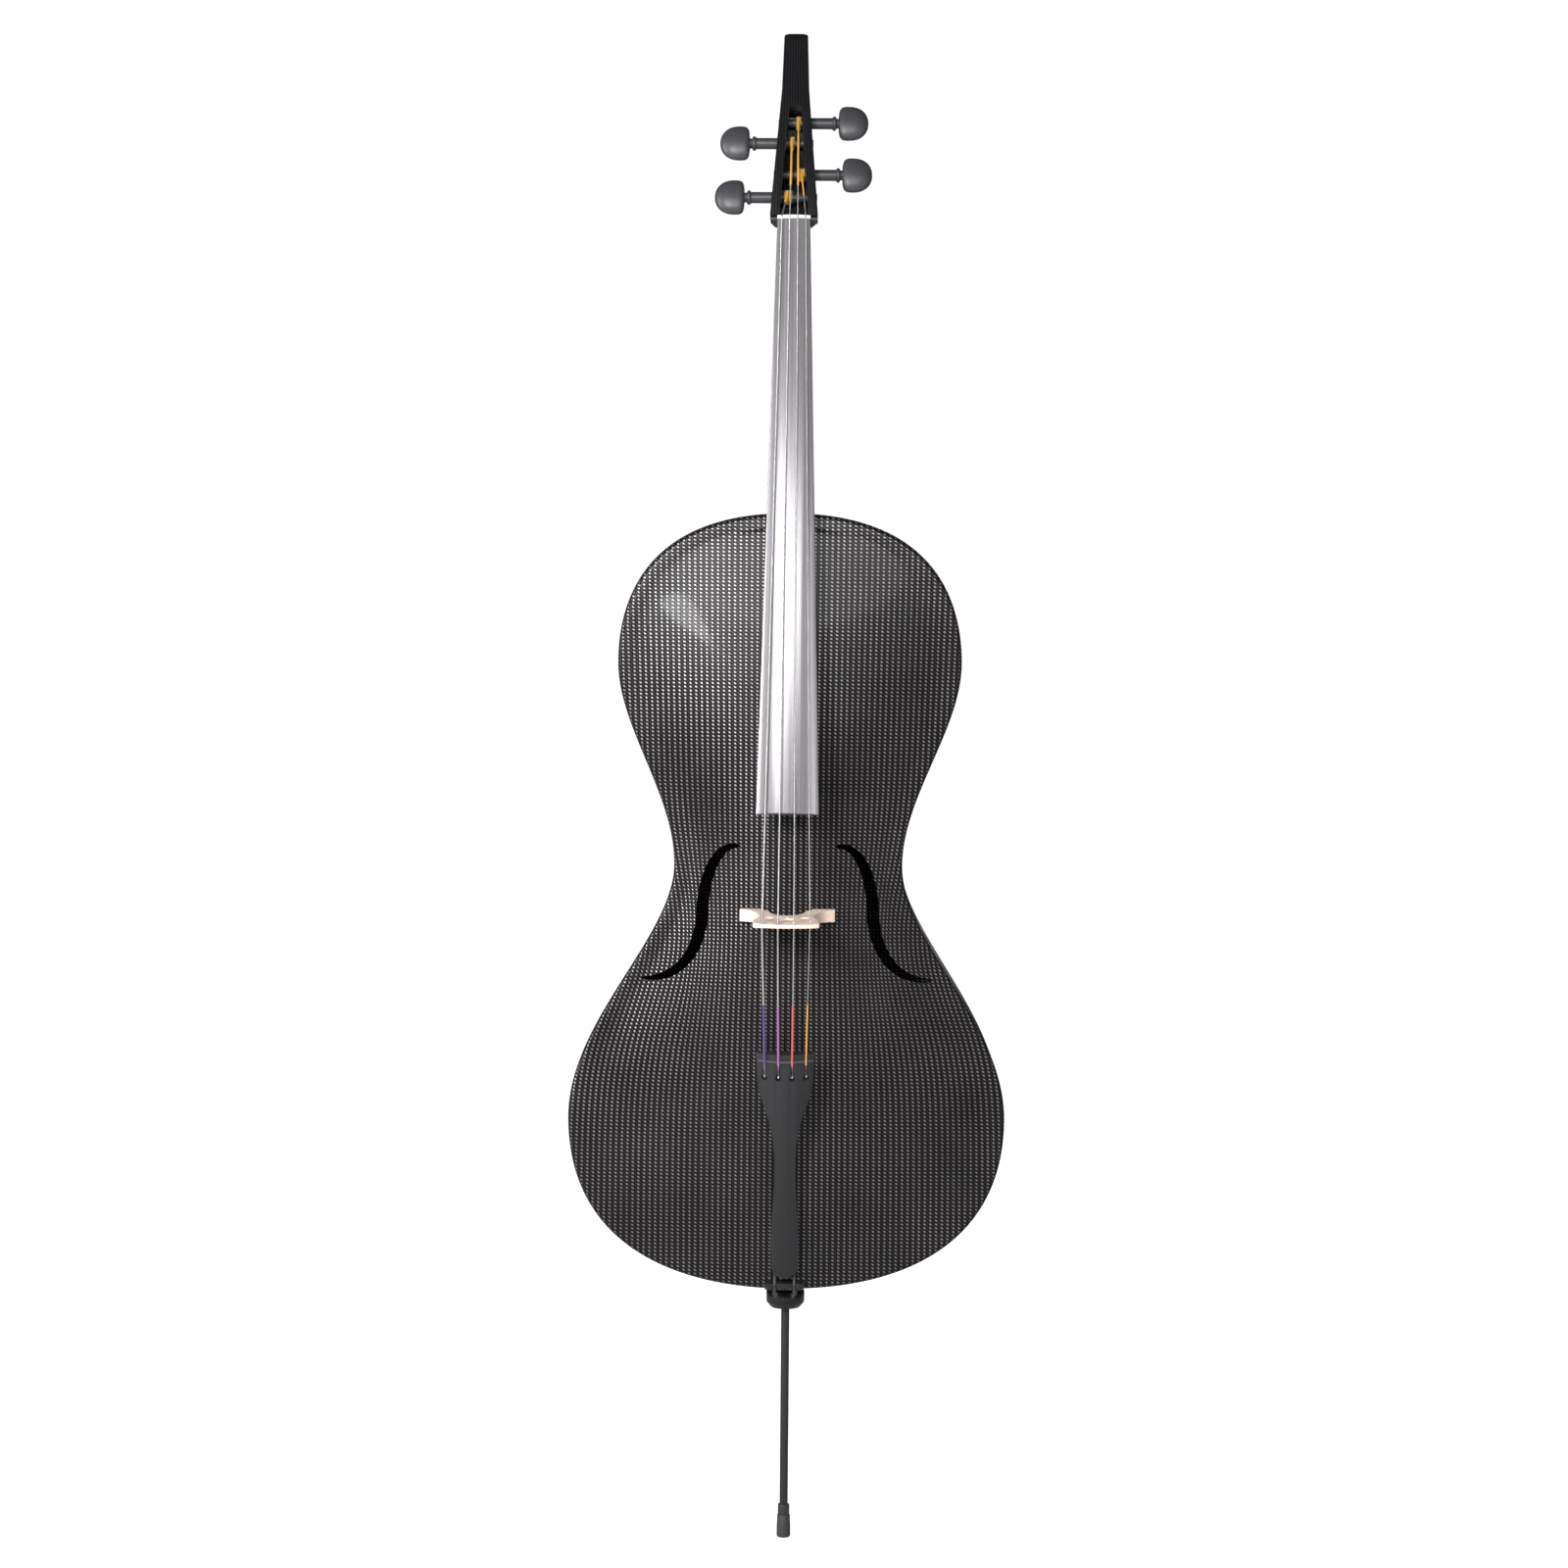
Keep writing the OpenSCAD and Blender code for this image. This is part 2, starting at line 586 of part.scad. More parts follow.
module pegbox() {
    chin_d = board_t_nut + neck_t;
    color([0.07, 0.07, 0.08]) difference() {
        head_frame() difference() {
            intersection() {
                along_y(0, head_t) head_plan();
                along_x(head_w + 2) polygon([[0, -20], [chin_d, -20], [chin_d, 0], [head_depth(chin_h), chin_h],
                    [head_thin, head_len], [6, head_len + 1], [0, head_len - 8]]);
            }
            string_box();
            for (k = STRINGS) peg_bore(k);
        }
        board_frame() translate([-40, -40, nut_t - 60]) cube([80, 120, 60]);
    }
}

// A peg lies along its own +Z from the far end to the thumb piece
module peg(k) {
    half = head_half(peg_at[k]);
    reach = half + peg_reach;
    head_frame() translate([0, peg_depth, peg_at[k]]) rotate([0, 90*peg_side[k], 0]) {
        translate([0, 0, -half - 1]) cylinder(h = half + 2, d = peg_tip_d);
        cylinder(h = reach, d = peg_d);
        translate([0, 0, reach]) rotate_extrude()
            polygon([[0, -2], [peg_d/2, -2], [7.2, -1], [7.2, 1], [6, 2], [5.2, 3.4], [5.6, 5], [0, 5]]);
        translate([0, 0, reach + 4]) thumb_piece();
    }
}

// A thumb piece is widest at this share of its length, and is cut flat towards the shank
thumb_wide = 0.38;

module thumb_piece() {
    far = (1 - thumb_wide)*thumb_l;
    intersection() {
        translate([0, 0, thumb_wide*thumb_l]) scale([thumb_w/2, thumb_t/2, far]) sphere(r = 1, $fn = 64);
        translate([-thumb_w/2, -thumb_t/2, 0]) cube([thumb_w, thumb_t, thumb_l]);
    }
}

module winding(k) {
    turns = 5;
    bead = wind_l[k]/turns;
    head_frame() translate([wind_mid[k], peg_depth, peg_at[k]]) rotate([0, 90, 0])
        translate([0, 0, -wind_l[k]/2]) difference() {
            cylinder(h = wind_l[k], r = wind_r);
            translate([0, 0, -1]) cylinder(h = wind_l[k] + 2, d = peg_side[k]*wind_mid[k] > 0 ? peg_d : peg_tip_d);
            for (i = [1:turns - 1]) translate([0, 0, i*bead]) rotate_extrude()
                polygon([[wind_r + 0.1, -0.4], [wind_r - 0.5, 0], [wind_r + 0.1, 0.4]]);
        }
}

module c_peg() { color([0.15, 0.15, 0.16]) peg(0); }
module g_peg() { color([0.15, 0.15, 0.16]) peg(1); }
module d_peg() { color([0.15, 0.15, 0.16]) peg(2); }
module a_peg() { color([0.15, 0.15, 0.16]) peg(3); }
module c_winding() { color([0.95, 0.65, 0.1]) winding(0); }
module g_winding() { color([0.95, 0.65, 0.1]) winding(1); }
module d_winding() { color([0.95, 0.65, 0.1]) winding(2); }
module a_winding() { color([0.95, 0.65, 0.1]) winding(3); }

// Bridge elevation: x across, y as height above the plate's crown
foot_w = 22;
crown_half = 31;
heart_h = 58;                                 // middle of the heart's two lobes

function bridge_side() = concat(
    [[bridge_w/2, -9], [bridge_w/2, 3]],
    [for (t = [0:0.125:1]) bez([[bridge_w/2 - 2, 5], [bridge_w/2 - 12, 8], [30, 20], [27, 34]], t)],
    [for (t = [0.2:0.2:1]) bez([[27, 34], [24, 48], [crown_half - 2, 50], [crown_half + 1, bridge_h - 24]], t)],
    [[crown_half, bridge_h - 12]]);

module bridge_plan() {
    side = bridge_side();
    top = [for (a = [1:-0.1:-1]) let (x = crown_half*a) [x, bridge_h - drop(x, bridge_r) + 0.6]];
    difference() {
        polygon(concat(side, top, [for (k = [len(side) - 1:-1:0]) [-side[k].x, side[k].y]]));
        polygon(concat([[bridge_w/2 - foot_w, -10], [bridge_w/2 - foot_w, 6]],
            [for (a = [0:12:180]) [(bridge_w/2 - foot_w - 6)*cos(a), 10 + 26*sin(a)]],
            [[foot_w - bridge_w/2, 6], [foot_w - bridge_w/2, -10]]));
        for (s = [-1, 1]) {
            translate([s*3.2, heart_h]) circle(r = 4);
            translate([s*17, 50]) circle(r = 4.5);
        }
        polygon([[-6, heart_h - 0.5], [6, heart_h - 0.5], [0, heart_h - 11]]);
    }
}

module bridge() {
    i0 = row_at(bridge_at) - 2;
    i1 = row_at(bridge_at) + 3;
    color([0.9, 0.78, 0.6]) difference() {
        intersection() {
            translate([0, crown_y, bridge_z]) linear_extrude(bridge_t) mirror([0, 1]) bridge_plan();
            along_x(bridge_w + 2) polygon([[crown_y + 12, bridge_z], [crown_y + 12, bridge_z + bridge_t],
                [crown_y, bridge_z + bridge_t], [contact_y - 2, bridge_z + crown_t], [contact_y - 2, bridge_z]]);
        }
        beyond_arch(top_border, top_arch, i0, i1, 2, 16, -crown_y - 40);
        for (k = STRINGS) rod_path([fret_pt(k), bridge_pt(k), nut_pt(k)], string_r[k] + notch_gap);
    }
}

// The saddle is let into the top plate's lower edge and stands on the ribs and the end block
module saddle() {
    color([0.06, 0.06, 0.06]) difference() {
        along_x(saddle_w) polygon([[joint_y, body_z + saddle_rise], [joint_y, body_z + saddle_t],
            [saddle_y + 2, body_z + saddle_t], [saddle_y, body_z + saddle_t - 2],
            [saddle_y, body_z + 3], [saddle_y + 3, body_z + saddle_rise]]);
        for (s = [-1, 1]) translate([s*cord_x - cord_r - 0.2, saddle_y - 1, body_z])
            cube([cord_d + 0.4, saddle_groove + 1, saddle_t + 1]);
    }
}

module saddle_seat() {
    translate([-saddle_w/2 - seat_gap, crown_y, body_z - 1])
        cube([saddle_w + 2*seat_gap, joint_y - crown_y + 1, saddle_t + 1 + seat_gap]);
}

// Tail cord: two strands over the saddle and one turn behind the bushing's neck
neck_r = 11;
loop_r = neck_r + cord_r + 0.15;
cord_z = body_z - 6;
cord_start = tail_pt([cord_x, 6, 20 - tail_len]);
function cord_half() = [cord_start, tail_pt([cord_x, 6, -tail_len]),
    [cord_x, saddle_y + 0.6, body_z + 6], [cord_x, saddle_y + 1, body_z + 1],
    [cord_x, saddle_y + 4, cord_z + 1.8], [cord_x + 0.5, joint_y + 4, cord_z], [loop_r, 0, cord_z]];
cord_pts = concat(cord_half(), [for (a = [20:20:160]) [loop_r*cos(a), loop_r*sin(a), cord_z]],
    [for (k = [len(cord_half()) - 1:-1:0]) let (p = cord_half()[k]) [-p.x, p.y, p.z]]);

function unit(v) = v/norm(v);
module cord(points, r) {
    n = len(points);
    loft([for (i = [0:n - 1]) let (t = unit(points[min(i + 1, n - 1)] - points[max(i - 1, 0)]),
        u = unit(cross(t, abs(t.x) > 0.9 ? [0, 0, 1] : [1, 0, 0])), v = cross(t, u))
        [for (a = [337.5:-45:22.5]) points[i] + r*(cos(a)*u + sin(a)*v)]]);
}

module tail_cord() { color([0.12, 0.12, 0.12]) cord(cord_pts, cord_r); }
module tail_cord_space() { cord(cord_pts, cord_r + 0.1); }

function tail_side() = concat([[tail_w/2 + 0.5, 7], [tail_w/2, -4], [tail_w/2 - 0.8, -22]],
    [for (t = [0.1:0.1:1]) bez([[tail_w/2 - 0.8, -22], [tail_w/2 - 1.5, -42], [tail_slim/2 + 1, -58],
        [tail_slim/2 + 0.4, -102]], t)],
    [for (t = [0.25:0.25:1]) bez([[tail_slim/2 + 0.4, -102], [tail_slim/2 - 0.4, -140], [13, -160],
        [13.4, -184]], t)],
    [[13, 14 - tail_len]],
    [for (a = [15:15:75]) [13*cos(a), 14 - tail_len - 14*sin(a)]]);

module tailpiece() {
    side = tail_side();
    color([0.13, 0.13, 0.14]) difference() {
        tail_frame() difference() {
            intersection() {
                translate([0, board_r, -tail_len]) cylinder(h = tail_len + 7, r = board_r, $fn = 180);
                along_y(-1, tail_t + 2) polygon(concat(side, [[0, -tail_len]],
                    [for (k = [len(side) - 1:-1:0]) [-side[k].x, side[k].y]]));
                along_x(tail_w + 4) polygon([[-1, 8], [tail_t, 8], [tail_t, -90], [tail_t - 2, -tail_len],
                    [-1, -tail_len]]);
            }
            for (k = STRINGS) {
                x = across(k, tail_gap);
                translate([x, -1, -slot_end]) rotate([-90, 0, 0]) cylinder(h = tail_t + 4, r = ball_r + 0.6);
                translate([x - string_r[k] - 0.5, -2, -slot_end]) cube([2*string_r[k] + 1, tail_t + 4, slot_end - 1.5]);
            }
        }
        tail_cord_space();
    }
}

module tail_fret() {
    color([0.3, 0.3, 0.31]) difference() {
        tail_frame() intersection() {
            translate([0, board_r, -1]) difference() {
                cylinder(h = 2, r = board_r + fret_h, $fn = 180);
                translate([0, 0, -1]) cylinder(h = 4, r = board_r, $fn = 180);
            }
            translate([-tail_w/2 + 1, -5, -2]) cube([tail_w - 2, 20, 4]);
        }
        for (k = STRINGS) rod_path([ball_pt(k), fret_pt(k), bridge_pt(k)], string_r[k] + notch_gap);
    }
}

// Endpin holder: tapered plug with a flange, a neck for the tail cord and a threaded spigot
ring_top = body_z - 9;
ring_bottom = ring_top - ring_h;
flange_r = 16;
collet_h = 6;
collet_r = 8;
pin_low = foot_h + 10.5;

module endpin_bushing() {
    color([0.12, 0.12, 0.13]) difference() {
        union() {
            translate([0, 0, body_z + 0.6]) cylinder(h = block_t + wall + 2, r = plug_r);
            intersection() {
                translate([0, 0, body_z - 2]) cylinder(h = 4, r = plug_r);
                cylinder(h = body_z + 2, r = plug_r);
            }
            translate([0, 0, body_z - 4]) cylinder(h = 3, r = flange_r);
            translate([0, 0, ring_bottom + collet_h + 3]) cylinder(h = body_z - ring_bottom - collet_h - 5, r = neck_r);
        }
        cylinder(h = body_z + block_t + 40, r = pin_d/2 + pin_gap);
    }
}

module endpin_collar() {
    color([0.1, 0.1, 0.1]) translate([0, 0, ring_bottom]) difference() {
        rotate_extrude() polygon([[0, 0], [14, 0], [ring_d/2 - 1.2, 4.2], [ring_d/2, 6.5], [ring_d/2, ring_h - 4],
            [ring_d/2 - 1.5, ring_h - 1.2], [ring_d/2 - 3.5, ring_h], [0, ring_h]]);
        translate([0, 0, -1]) cylinder(h = ring_h + 2, r = pin_d/2 + 0.4);
        translate([0, 0, 2]) cylinder(h = ring_h, r = collet_r + 0.1);
        translate([0, 0, collet_h + 2.5]) cylinder(h = ring_h, r = neck_r + 0.08);
    }
}

module endpin_collet() {
    color([0.72, 0.6, 0.3]) translate([0, 0, ring_bottom + 2.5]) difference() {
        cylinder(h = collet_h, r = collet_r);
        translate([0, 0, -1]) cylinder(h = collet_h + 2, r = pin_d/2 + pin_gap);
        translate([0, -0.6, -1]) cube([collet_r + 2, 1.2, collet_h + 2]);
    }
}

module endpin_rod() {
    color([0.2, 0.2, 0.21]) translate([0, 0, pin_low]) cylinder(h = pin_len, d = pin_d);
}

spike_r = 3;

module endpin_ferrule() {
    color([0.25, 0.25, 0.26]) rotate_extrude() polygon([[0, 4], [spike_r, 10], [spike_r, foot_h], [5.9, foot_h],
        [5.9, pin_low - 0.8], [5.1, pin_low], [0, pin_low]]);
}

module rubber_foot() {
    color([0.08, 0.08, 0.08]) difference() {
        rotate_extrude() polygon(concat([[0, 0], [foot_d/2 - 2, 0]],
            [for (a = [15:15:90]) [foot_d/2 - 2 + 2*sin(a), 2 - 2*cos(a)]],
            [[foot_d/2, 12], [foot_d/2 - 0.5, foot_h - 0.3], [0, foot_h - 0.3]]));
        translate([0, 0, 3]) cylinder(h = foot_h, r = spike_r + 0.06);
    }
}

back_shell();
top_plate();
rim_lining();
neck_block();
end_block();
bass_bar();
sound_post();
neck();
pegbox();
fingerboard();
nut();
bridge();
saddle();
tailpiece();
tail_fret();
tail_cord();
c_string();
g_string();
d_string();
a_string();
c_peg();
g_peg();
d_peg();
a_peg();
c_winding();
g_winding();
d_winding();
a_winding();
endpin_bushing();
endpin_collar();
endpin_collet();
endpin_rod();
endpin_ferrule();
rubber_foot();
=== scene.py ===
"""Full-size carbon cello: the visual model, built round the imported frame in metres."""

import logging
import math
from collections.abc import Callable, Iterable, Sequence
from dataclasses import dataclass, field
from enum import Enum

import bmesh
import bpy
from mathutils import Matrix, Vector


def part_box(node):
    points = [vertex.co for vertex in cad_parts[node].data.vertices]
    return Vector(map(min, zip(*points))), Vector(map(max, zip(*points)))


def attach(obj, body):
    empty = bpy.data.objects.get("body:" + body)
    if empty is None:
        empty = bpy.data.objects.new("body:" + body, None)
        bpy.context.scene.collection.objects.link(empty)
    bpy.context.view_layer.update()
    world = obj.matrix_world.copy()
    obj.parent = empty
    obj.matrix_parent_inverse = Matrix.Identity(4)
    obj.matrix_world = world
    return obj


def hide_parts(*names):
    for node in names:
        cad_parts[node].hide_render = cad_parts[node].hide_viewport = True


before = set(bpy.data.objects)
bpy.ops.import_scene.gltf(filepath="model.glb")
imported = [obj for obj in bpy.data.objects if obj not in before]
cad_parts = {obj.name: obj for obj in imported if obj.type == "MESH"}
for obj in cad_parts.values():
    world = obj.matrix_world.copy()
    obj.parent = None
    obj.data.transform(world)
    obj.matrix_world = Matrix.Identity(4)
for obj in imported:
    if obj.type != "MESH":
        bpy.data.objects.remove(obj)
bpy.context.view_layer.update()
LOG = logging.getLogger("cello")
MM = 0.001
ROOT = "instrument"
Colour = tuple[float, float, float]
Socket = bpy.types.NodeSocket


class Side(Enum):
    """The side of the head that a peg's thumb piece stands on."""

    BASS = -1
    TREBLE = 1


# ---------------------------------------------------------------- shader building


class Graph:
    """A node tree with short calls for adding and joining nodes."""

    def __init__(self, tree: bpy.types.NodeTree) -> None:
        """Wraps an existing node tree.

        Args:
            tree: the tree that new nodes are added to.
        """
        self.tree = tree

    def add(self, kind: str, settings: dict | None = None, **inputs: object) -> bpy.types.Node:
        """Adds a node and fills or links its inputs.

        Args:
            kind: the node's type name without the ShaderNode prefix.
            settings: the node's own properties.
            inputs: values or sockets by input name, with spaces as underscores.

        Returns:
            The new node.
        """
        node = self.tree.nodes.new("ShaderNode" + kind)
        for name, value in (settings or {}).items():
            setattr(node, name, value)
        for name, value in inputs.items():
            self.feed(node.inputs[name.replace("_", " ")], value)
        return node

    def feed(self, socket: Socket, value: object) -> None:
        """Links a socket to an input, or sets its value.

        Args:
            socket: the input to fill.
            value: a socket, a number or a tuple.
        """
        if isinstance(value, bpy.types.NodeSocket):
            self.tree.links.new(value, socket)
        elif isinstance(value, tuple) and len(value) == 3 and socket.type == "RGBA":
            socket.default_value = (*value, 1.0)
        else:
            socket.default_value = value

    def math(self, operation: str, *values: object) -> Socket:
        """Adds one Math node.

        Args:
            operation: Blender's name of the operation.
            values: numbers or sockets, in the node's order.

        Returns:
            The node's value output.
        """
        node = self.add("Math", {"operation": operation})
        for socket, value in zip(node.inputs, values):
            self.feed(socket, value)
        return node.outputs[0]

    def blend(self, factor: object, first: object, second: object) -> Socket:
        """Mixes two colours.

        Args:
            factor: share of the second colour.
            first: the colour at factor 0.
            second: the colour at factor 1.

        Returns:
            The mixed colour.
        """
        node = self.add("MixRGB", {"blend_type": "MIX"}, Fac=factor, Color1=first, Color2=second)
        return node.outputs[0]

    def noise(self, where: object, scale: float, detail: float = 2.0) -> Socket:
        """Adds a noise texture.

        Args:
            where: the coordinate socket.
            scale: features per metre.
            detail: octaves.

        Returns:
            The noise value.
        """
        return self.add("TexNoise", Vector=where, Scale=scale, Detail=detail).outputs[0]


def shared_group(name: str, inputs: dict[str, str], outputs: dict[str, str],
                 fill: Callable[[Graph, dict[str, Socket]], dict[str, Socket]]) -> bpy.types.NodeTree:
    """Builds a shader node group once and returns it afterwards.

    Args:
        name: the group's name.
        inputs: socket type by input name.
        outputs: socket type by output name.
        fill: makes the inside from the graph and its inputs, and returns the outputs.

    Returns:
        The group.
    """
    if name in bpy.data.node_groups:
        return bpy.data.node_groups[name]
    tree = bpy.data.node_groups.new(name, "ShaderNodeTree")
    for label, kind in inputs.items():
        tree.interface.new_socket(label, in_out="INPUT", socket_type="NodeSocket" + kind)
    for label, kind in outputs.items():
        tree.interface.new_socket(label, in_out="OUTPUT", socket_type="NodeSocket" + kind)
    graph = Graph(tree)
    entry = tree.nodes.new("NodeGroupInput")
    leave = tree.nodes.new("NodeGroupOutput")
    made = fill(graph, {label: entry.outputs[label] for label in inputs})
    for label, socket in made.items():
        tree.links.new(socket, leave.inputs[label])
    return tree


def fill_twill(graph: Graph, given: dict[str, Socket]) -> dict[str, Socket]:
    """Inside of the twill group: rows of slanted tows in columns that alternate in height.

    Args:
        graph: the group's graph.
        given: Where, Across and Along.

    Returns:
        Tow (0 in the gaps, 1 on a tow's crown) and Height.
    """
    split = graph.add("SeparateXYZ", Vector=given["Where"])
    across = graph.math("DIVIDE", split.outputs[0], given["Across"])
    along = graph.math("DIVIDE", split.outputs[1], given["Along"])
    place = graph.math("FRACT", across)

    def tows(centre: float, half: float, shift: float, slant: float) -> Socket:
        """One column of tows in the repeat: centre and half width across, phase along and slant."""
        away = graph.math("DIVIDE", graph.math("SUBTRACT", place, centre), half)
        crown = graph.math("MAXIMUM", graph.math("SUBTRACT", 1.0, graph.math("MULTIPLY", away, away)), 0.0)
        phase = graph.math("ADD", along, graph.math("MULTIPLY_ADD", away, slant, shift))
        turn = graph.math("COSINE", graph.math("MULTIPLY", phase, math.tau))
        wave = graph.math("MULTIPLY_ADD", turn, 0.5, 0.5)
        return graph.math("MULTIPLY", crown, wave)

    broad = tows(0.34, 0.33, 0.0, 0.2)
    narrow = tows(0.85, 0.14, 0.5, -0.2)
    height = graph.math("MAXIMUM", broad, graph.math("MULTIPLY", narrow, 0.4))
    return {"Tow": graph.math("POWER", height, 2.0), "Height": height}


def fill_grain(graph: Graph, given: dict[str, Socket]) -> dict[str, Socket]:
    """Inside of the grain group: stretched fibres over soft bands.

    Args:
        graph: the group's graph.
        given: Where and Scale.

    Returns:
        Fibre and Band, both about 0 to 1.
    """
    fibre = graph.add("TexNoise", Vector=given["Where"], Scale=given["Scale"], Detail=4.0).outputs[0]
    wide = graph.math("MULTIPLY", given["Scale"], 0.12)
    band = graph.add("TexNoise", Vector=given["Where"], Scale=wide, Detail=1.0).outputs[0]
    return {"Fibre": fibre, "Band": band}


def twill_group() -> bpy.types.NodeTree:
    """Returns the woven-tow group."""
    return shared_group("woven_tows", {"Where": "Vector", "Across": "Float", "Along": "Float"},
                        {"Tow": "Float", "Height": "Float"}, fill_twill)


def grain_group() -> bpy.types.NodeTree:
    """Returns the stretched-fibre group."""
    return shared_group("stretched_fibres", {"Where": "Vector", "Scale": "Float"},
                        {"Fibre": "Float", "Band": "Float"}, fill_grain)


def use_group(graph: Graph, tree: bpy.types.NodeTree, **inputs: object) -> bpy.types.Node:
    """Places a node group.

    Args:
        graph: the material's graph.
        tree: the group.
        inputs: values or sockets by input name.

    Returns:
        The group node.
    """
    node = graph.tree.nodes.new("ShaderNodeGroup")
    node.node_tree = tree
    for name, value in inputs.items():
        graph.feed(node.inputs[name], value)
    return node


def blank_material(name: str) -> tuple[bpy.types.Material, Graph, bpy.types.Node]:
    """Starts a material that holds only a Principled shader.

    Args:
        name: the material's name.

    Returns:
        The material, its graph and its Principled node.
    """
    material = bpy.data.materials.new(name)
    material.use_nodes = True
    graph = Graph(material.node_tree)
    return material, graph, material.node_tree.nodes["Principled BSDF"]


@dataclass(frozen=True)
class WovenFinish:
    """Carbon cloth under a clear coat."""

    name: str
    gap: Colour
    tow: Colour
    across: float
    along: float
    depth: float
    rough: float
    coat: float
    metal: float
    gap_shine: float

    def material(self) -> bpy.types.Material:
        """Builds the material.

        Returns:
            The woven material.
        """
        material, graph, shader = blank_material(self.name)
        coords = graph.add("TexCoord")
        tows = use_group(graph, twill_group(), Where=coords.outputs["UV"], Across=self.across,
                         Along=self.along)
        patchy = graph.noise(coords.outputs["Object"], 14.0)
        lit = graph.math("MULTIPLY", tows.outputs["Tow"], graph.math("MULTIPLY_ADD", patchy, 0.9, 0.5))
        graph.feed(shader.inputs["Base Color"], graph.blend(lit, self.gap, self.tow))
        uneven = graph.math("MULTIPLY_ADD", patchy, 0.12, self.rough - 0.06)
        graph.feed(shader.inputs["Roughness"], uneven)
        graph.feed(shader.inputs["Metallic"], graph.math("MULTIPLY", tows.outputs["Tow"], self.metal))
        bump = graph.add("Bump", Strength=1.0, Distance=self.depth, Height=tows.outputs["Height"])
        graph.feed(shader.inputs["Normal"], bump.outputs[0])
        shader.inputs["Specular IOR Level"].default_value = self.gap_shine
        shader.inputs["Coat Weight"].default_value = self.coat
        shader.inputs["Coat Roughness"].default_value = 0.06
        return material


@dataclass(frozen=True)
class SatinFinish:
    """Moulded or turned material with a fine uneven surface."""

    name: str
    colour: Colour
    rough: float
    uneven: float = 0.08
    scale: float = 900.0
    stretch: tuple[float, float, float] = (1.0, 1.0, 1.0)
    shift: float = 0.25
    depth: float = 0.00002
    metal: float = 0.0
    coat: float = 0.0
    sheen: float = 0.0

    def material(self) -> bpy.types.Material:
        """Builds the material.

        Returns:
            The satin material.
        """
        material, graph, shader = blank_material(self.name)
        coords = graph.add("TexCoord")
        where = graph.add("Mapping", Vector=coords.outputs["Object"], Scale=self.stretch).outputs[0]
        grain = use_group(graph, grain_group(), Where=where, Scale=self.scale)
        pale = tuple(min(1.0, c * (1.0 + self.shift)) for c in self.colour)
        deep = tuple(c * (1.0 - self.shift) for c in self.colour)
        mixed = graph.math("MULTIPLY_ADD", grain.outputs["Fibre"], 0.6,
                           graph.math("MULTIPLY", grain.outputs["Band"], 0.4))
        graph.feed(shader.inputs["Base Color"], graph.blend(mixed, deep, pale))
        rough = graph.math("MULTIPLY_ADD", grain.outputs["Fibre"], 2 * self.uneven, self.rough - self.uneven)
        graph.feed(shader.inputs["Roughness"], rough)
        bump = graph.add("Bump", Strength=0.6, Distance=self.depth, Height=grain.outputs["Fibre"])
        graph.feed(shader.inputs["Normal"], bump.outputs[0])
        shader.inputs["Metallic"].default_value = self.metal
        shader.inputs["Coat Weight"].default_value = self.coat
        shader.inputs["Sheen Weight"].default_value = self.sheen
        return material


@dataclass(frozen=True)
class WoodFinish:
    """Bare wood with long grain, growth bands and a few dark flecks."""

    name: str
    pale: Colour
    dark: Colour
    stretch: tuple[float, float, float]
    flecks: float = 0.0

    def material(self) -> bpy.types.Material:
        """Builds the material.

        Returns:
            The wood material.
        """
        material, graph, shader = blank_material(self.name)
        coords = graph.add("TexCoord")
        where = graph.add("Mapping", Vector=coords.outputs["Object"], Scale=self.stretch).outputs[0]
        grain = use_group(graph, grain_group(), Where=where, Scale=420.0)
        line = graph.math("POWER", grain.outputs["Fibre"], 1.6)
        shade = graph.math("MULTIPLY_ADD", grain.outputs["Band"], 0.55, graph.math("MULTIPLY", line, 0.45))
        colour = graph.blend(shade, self.pale, self.dark)
        spots = graph.noise(coords.outputs["Object"], 260.0, 1.0)
        spotted = graph.math("MULTIPLY", graph.math("GREATER_THAN", spots, 0.68), self.flecks)
        colour = graph.blend(spotted, colour, tuple(0.45 * c for c in self.dark))
        graph.feed(shader.inputs["Base Color"], colour)
        graph.feed(shader.inputs["Roughness"], graph.math("MULTIPLY_ADD", grain.outputs["Fibre"], 0.2, 0.45))
        bump = graph.add("Bump", Strength=0.5, Distance=0.00004, Height=grain.outputs["Fibre"])
        graph.feed(shader.inputs["Normal"], bump.outputs[0])
        return material


@dataclass(frozen=True)
class ThreadFinish:
    """Wound thread or wire: fine turns across the run of the piece, with painted shade darkening the grooves
    between turns.
    """

    name: str
    colour: Colour
    turn: float
    rough: float
    metal: float = 0.0
    sheen: float = 0.0

    def material(self) -> bpy.types.Material:
        """Builds the material.

        Returns:
            The thread material.
        """
        material, graph, shader = blank_material(self.name)
        coords = graph.add("TexCoord")
        at = graph.add("SeparateXYZ", Vector=coords.outputs["Object"])
        turns = graph.math("MULTIPLY", at.outputs[2], math.tau / self.turn)
        ridge = graph.math("MULTIPLY_ADD", graph.math("SINE", turns), 0.5, 0.5)
        cloudy = graph.noise(coords.outputs["Object"], 500.0)
        # painted shade: the colour darkens to 0.55 in the grooves between turns where the ridge is low; the
        # cloudy half is random tone
        shade = graph.math("MULTIPLY_ADD", ridge, 0.5, graph.math("MULTIPLY", cloudy, 0.5))
        graph.feed(shader.inputs["Base Color"],
                   graph.blend(shade, tuple(0.55 * c for c in self.colour), self.colour))
        graph.feed(shader.inputs["Roughness"], graph.math("MULTIPLY_ADD", cloudy, 0.1, self.rough - 0.05))
        bump = graph.add("Bump", Strength=0.7, Distance=0.00008, Height=ridge)
        graph.feed(shader.inputs["Normal"], bump.outputs[0])
        shader.inputs["Metallic"].default_value = self.metal
        shader.inputs["Sheen Weight"].default_value = self.sheen
        return material


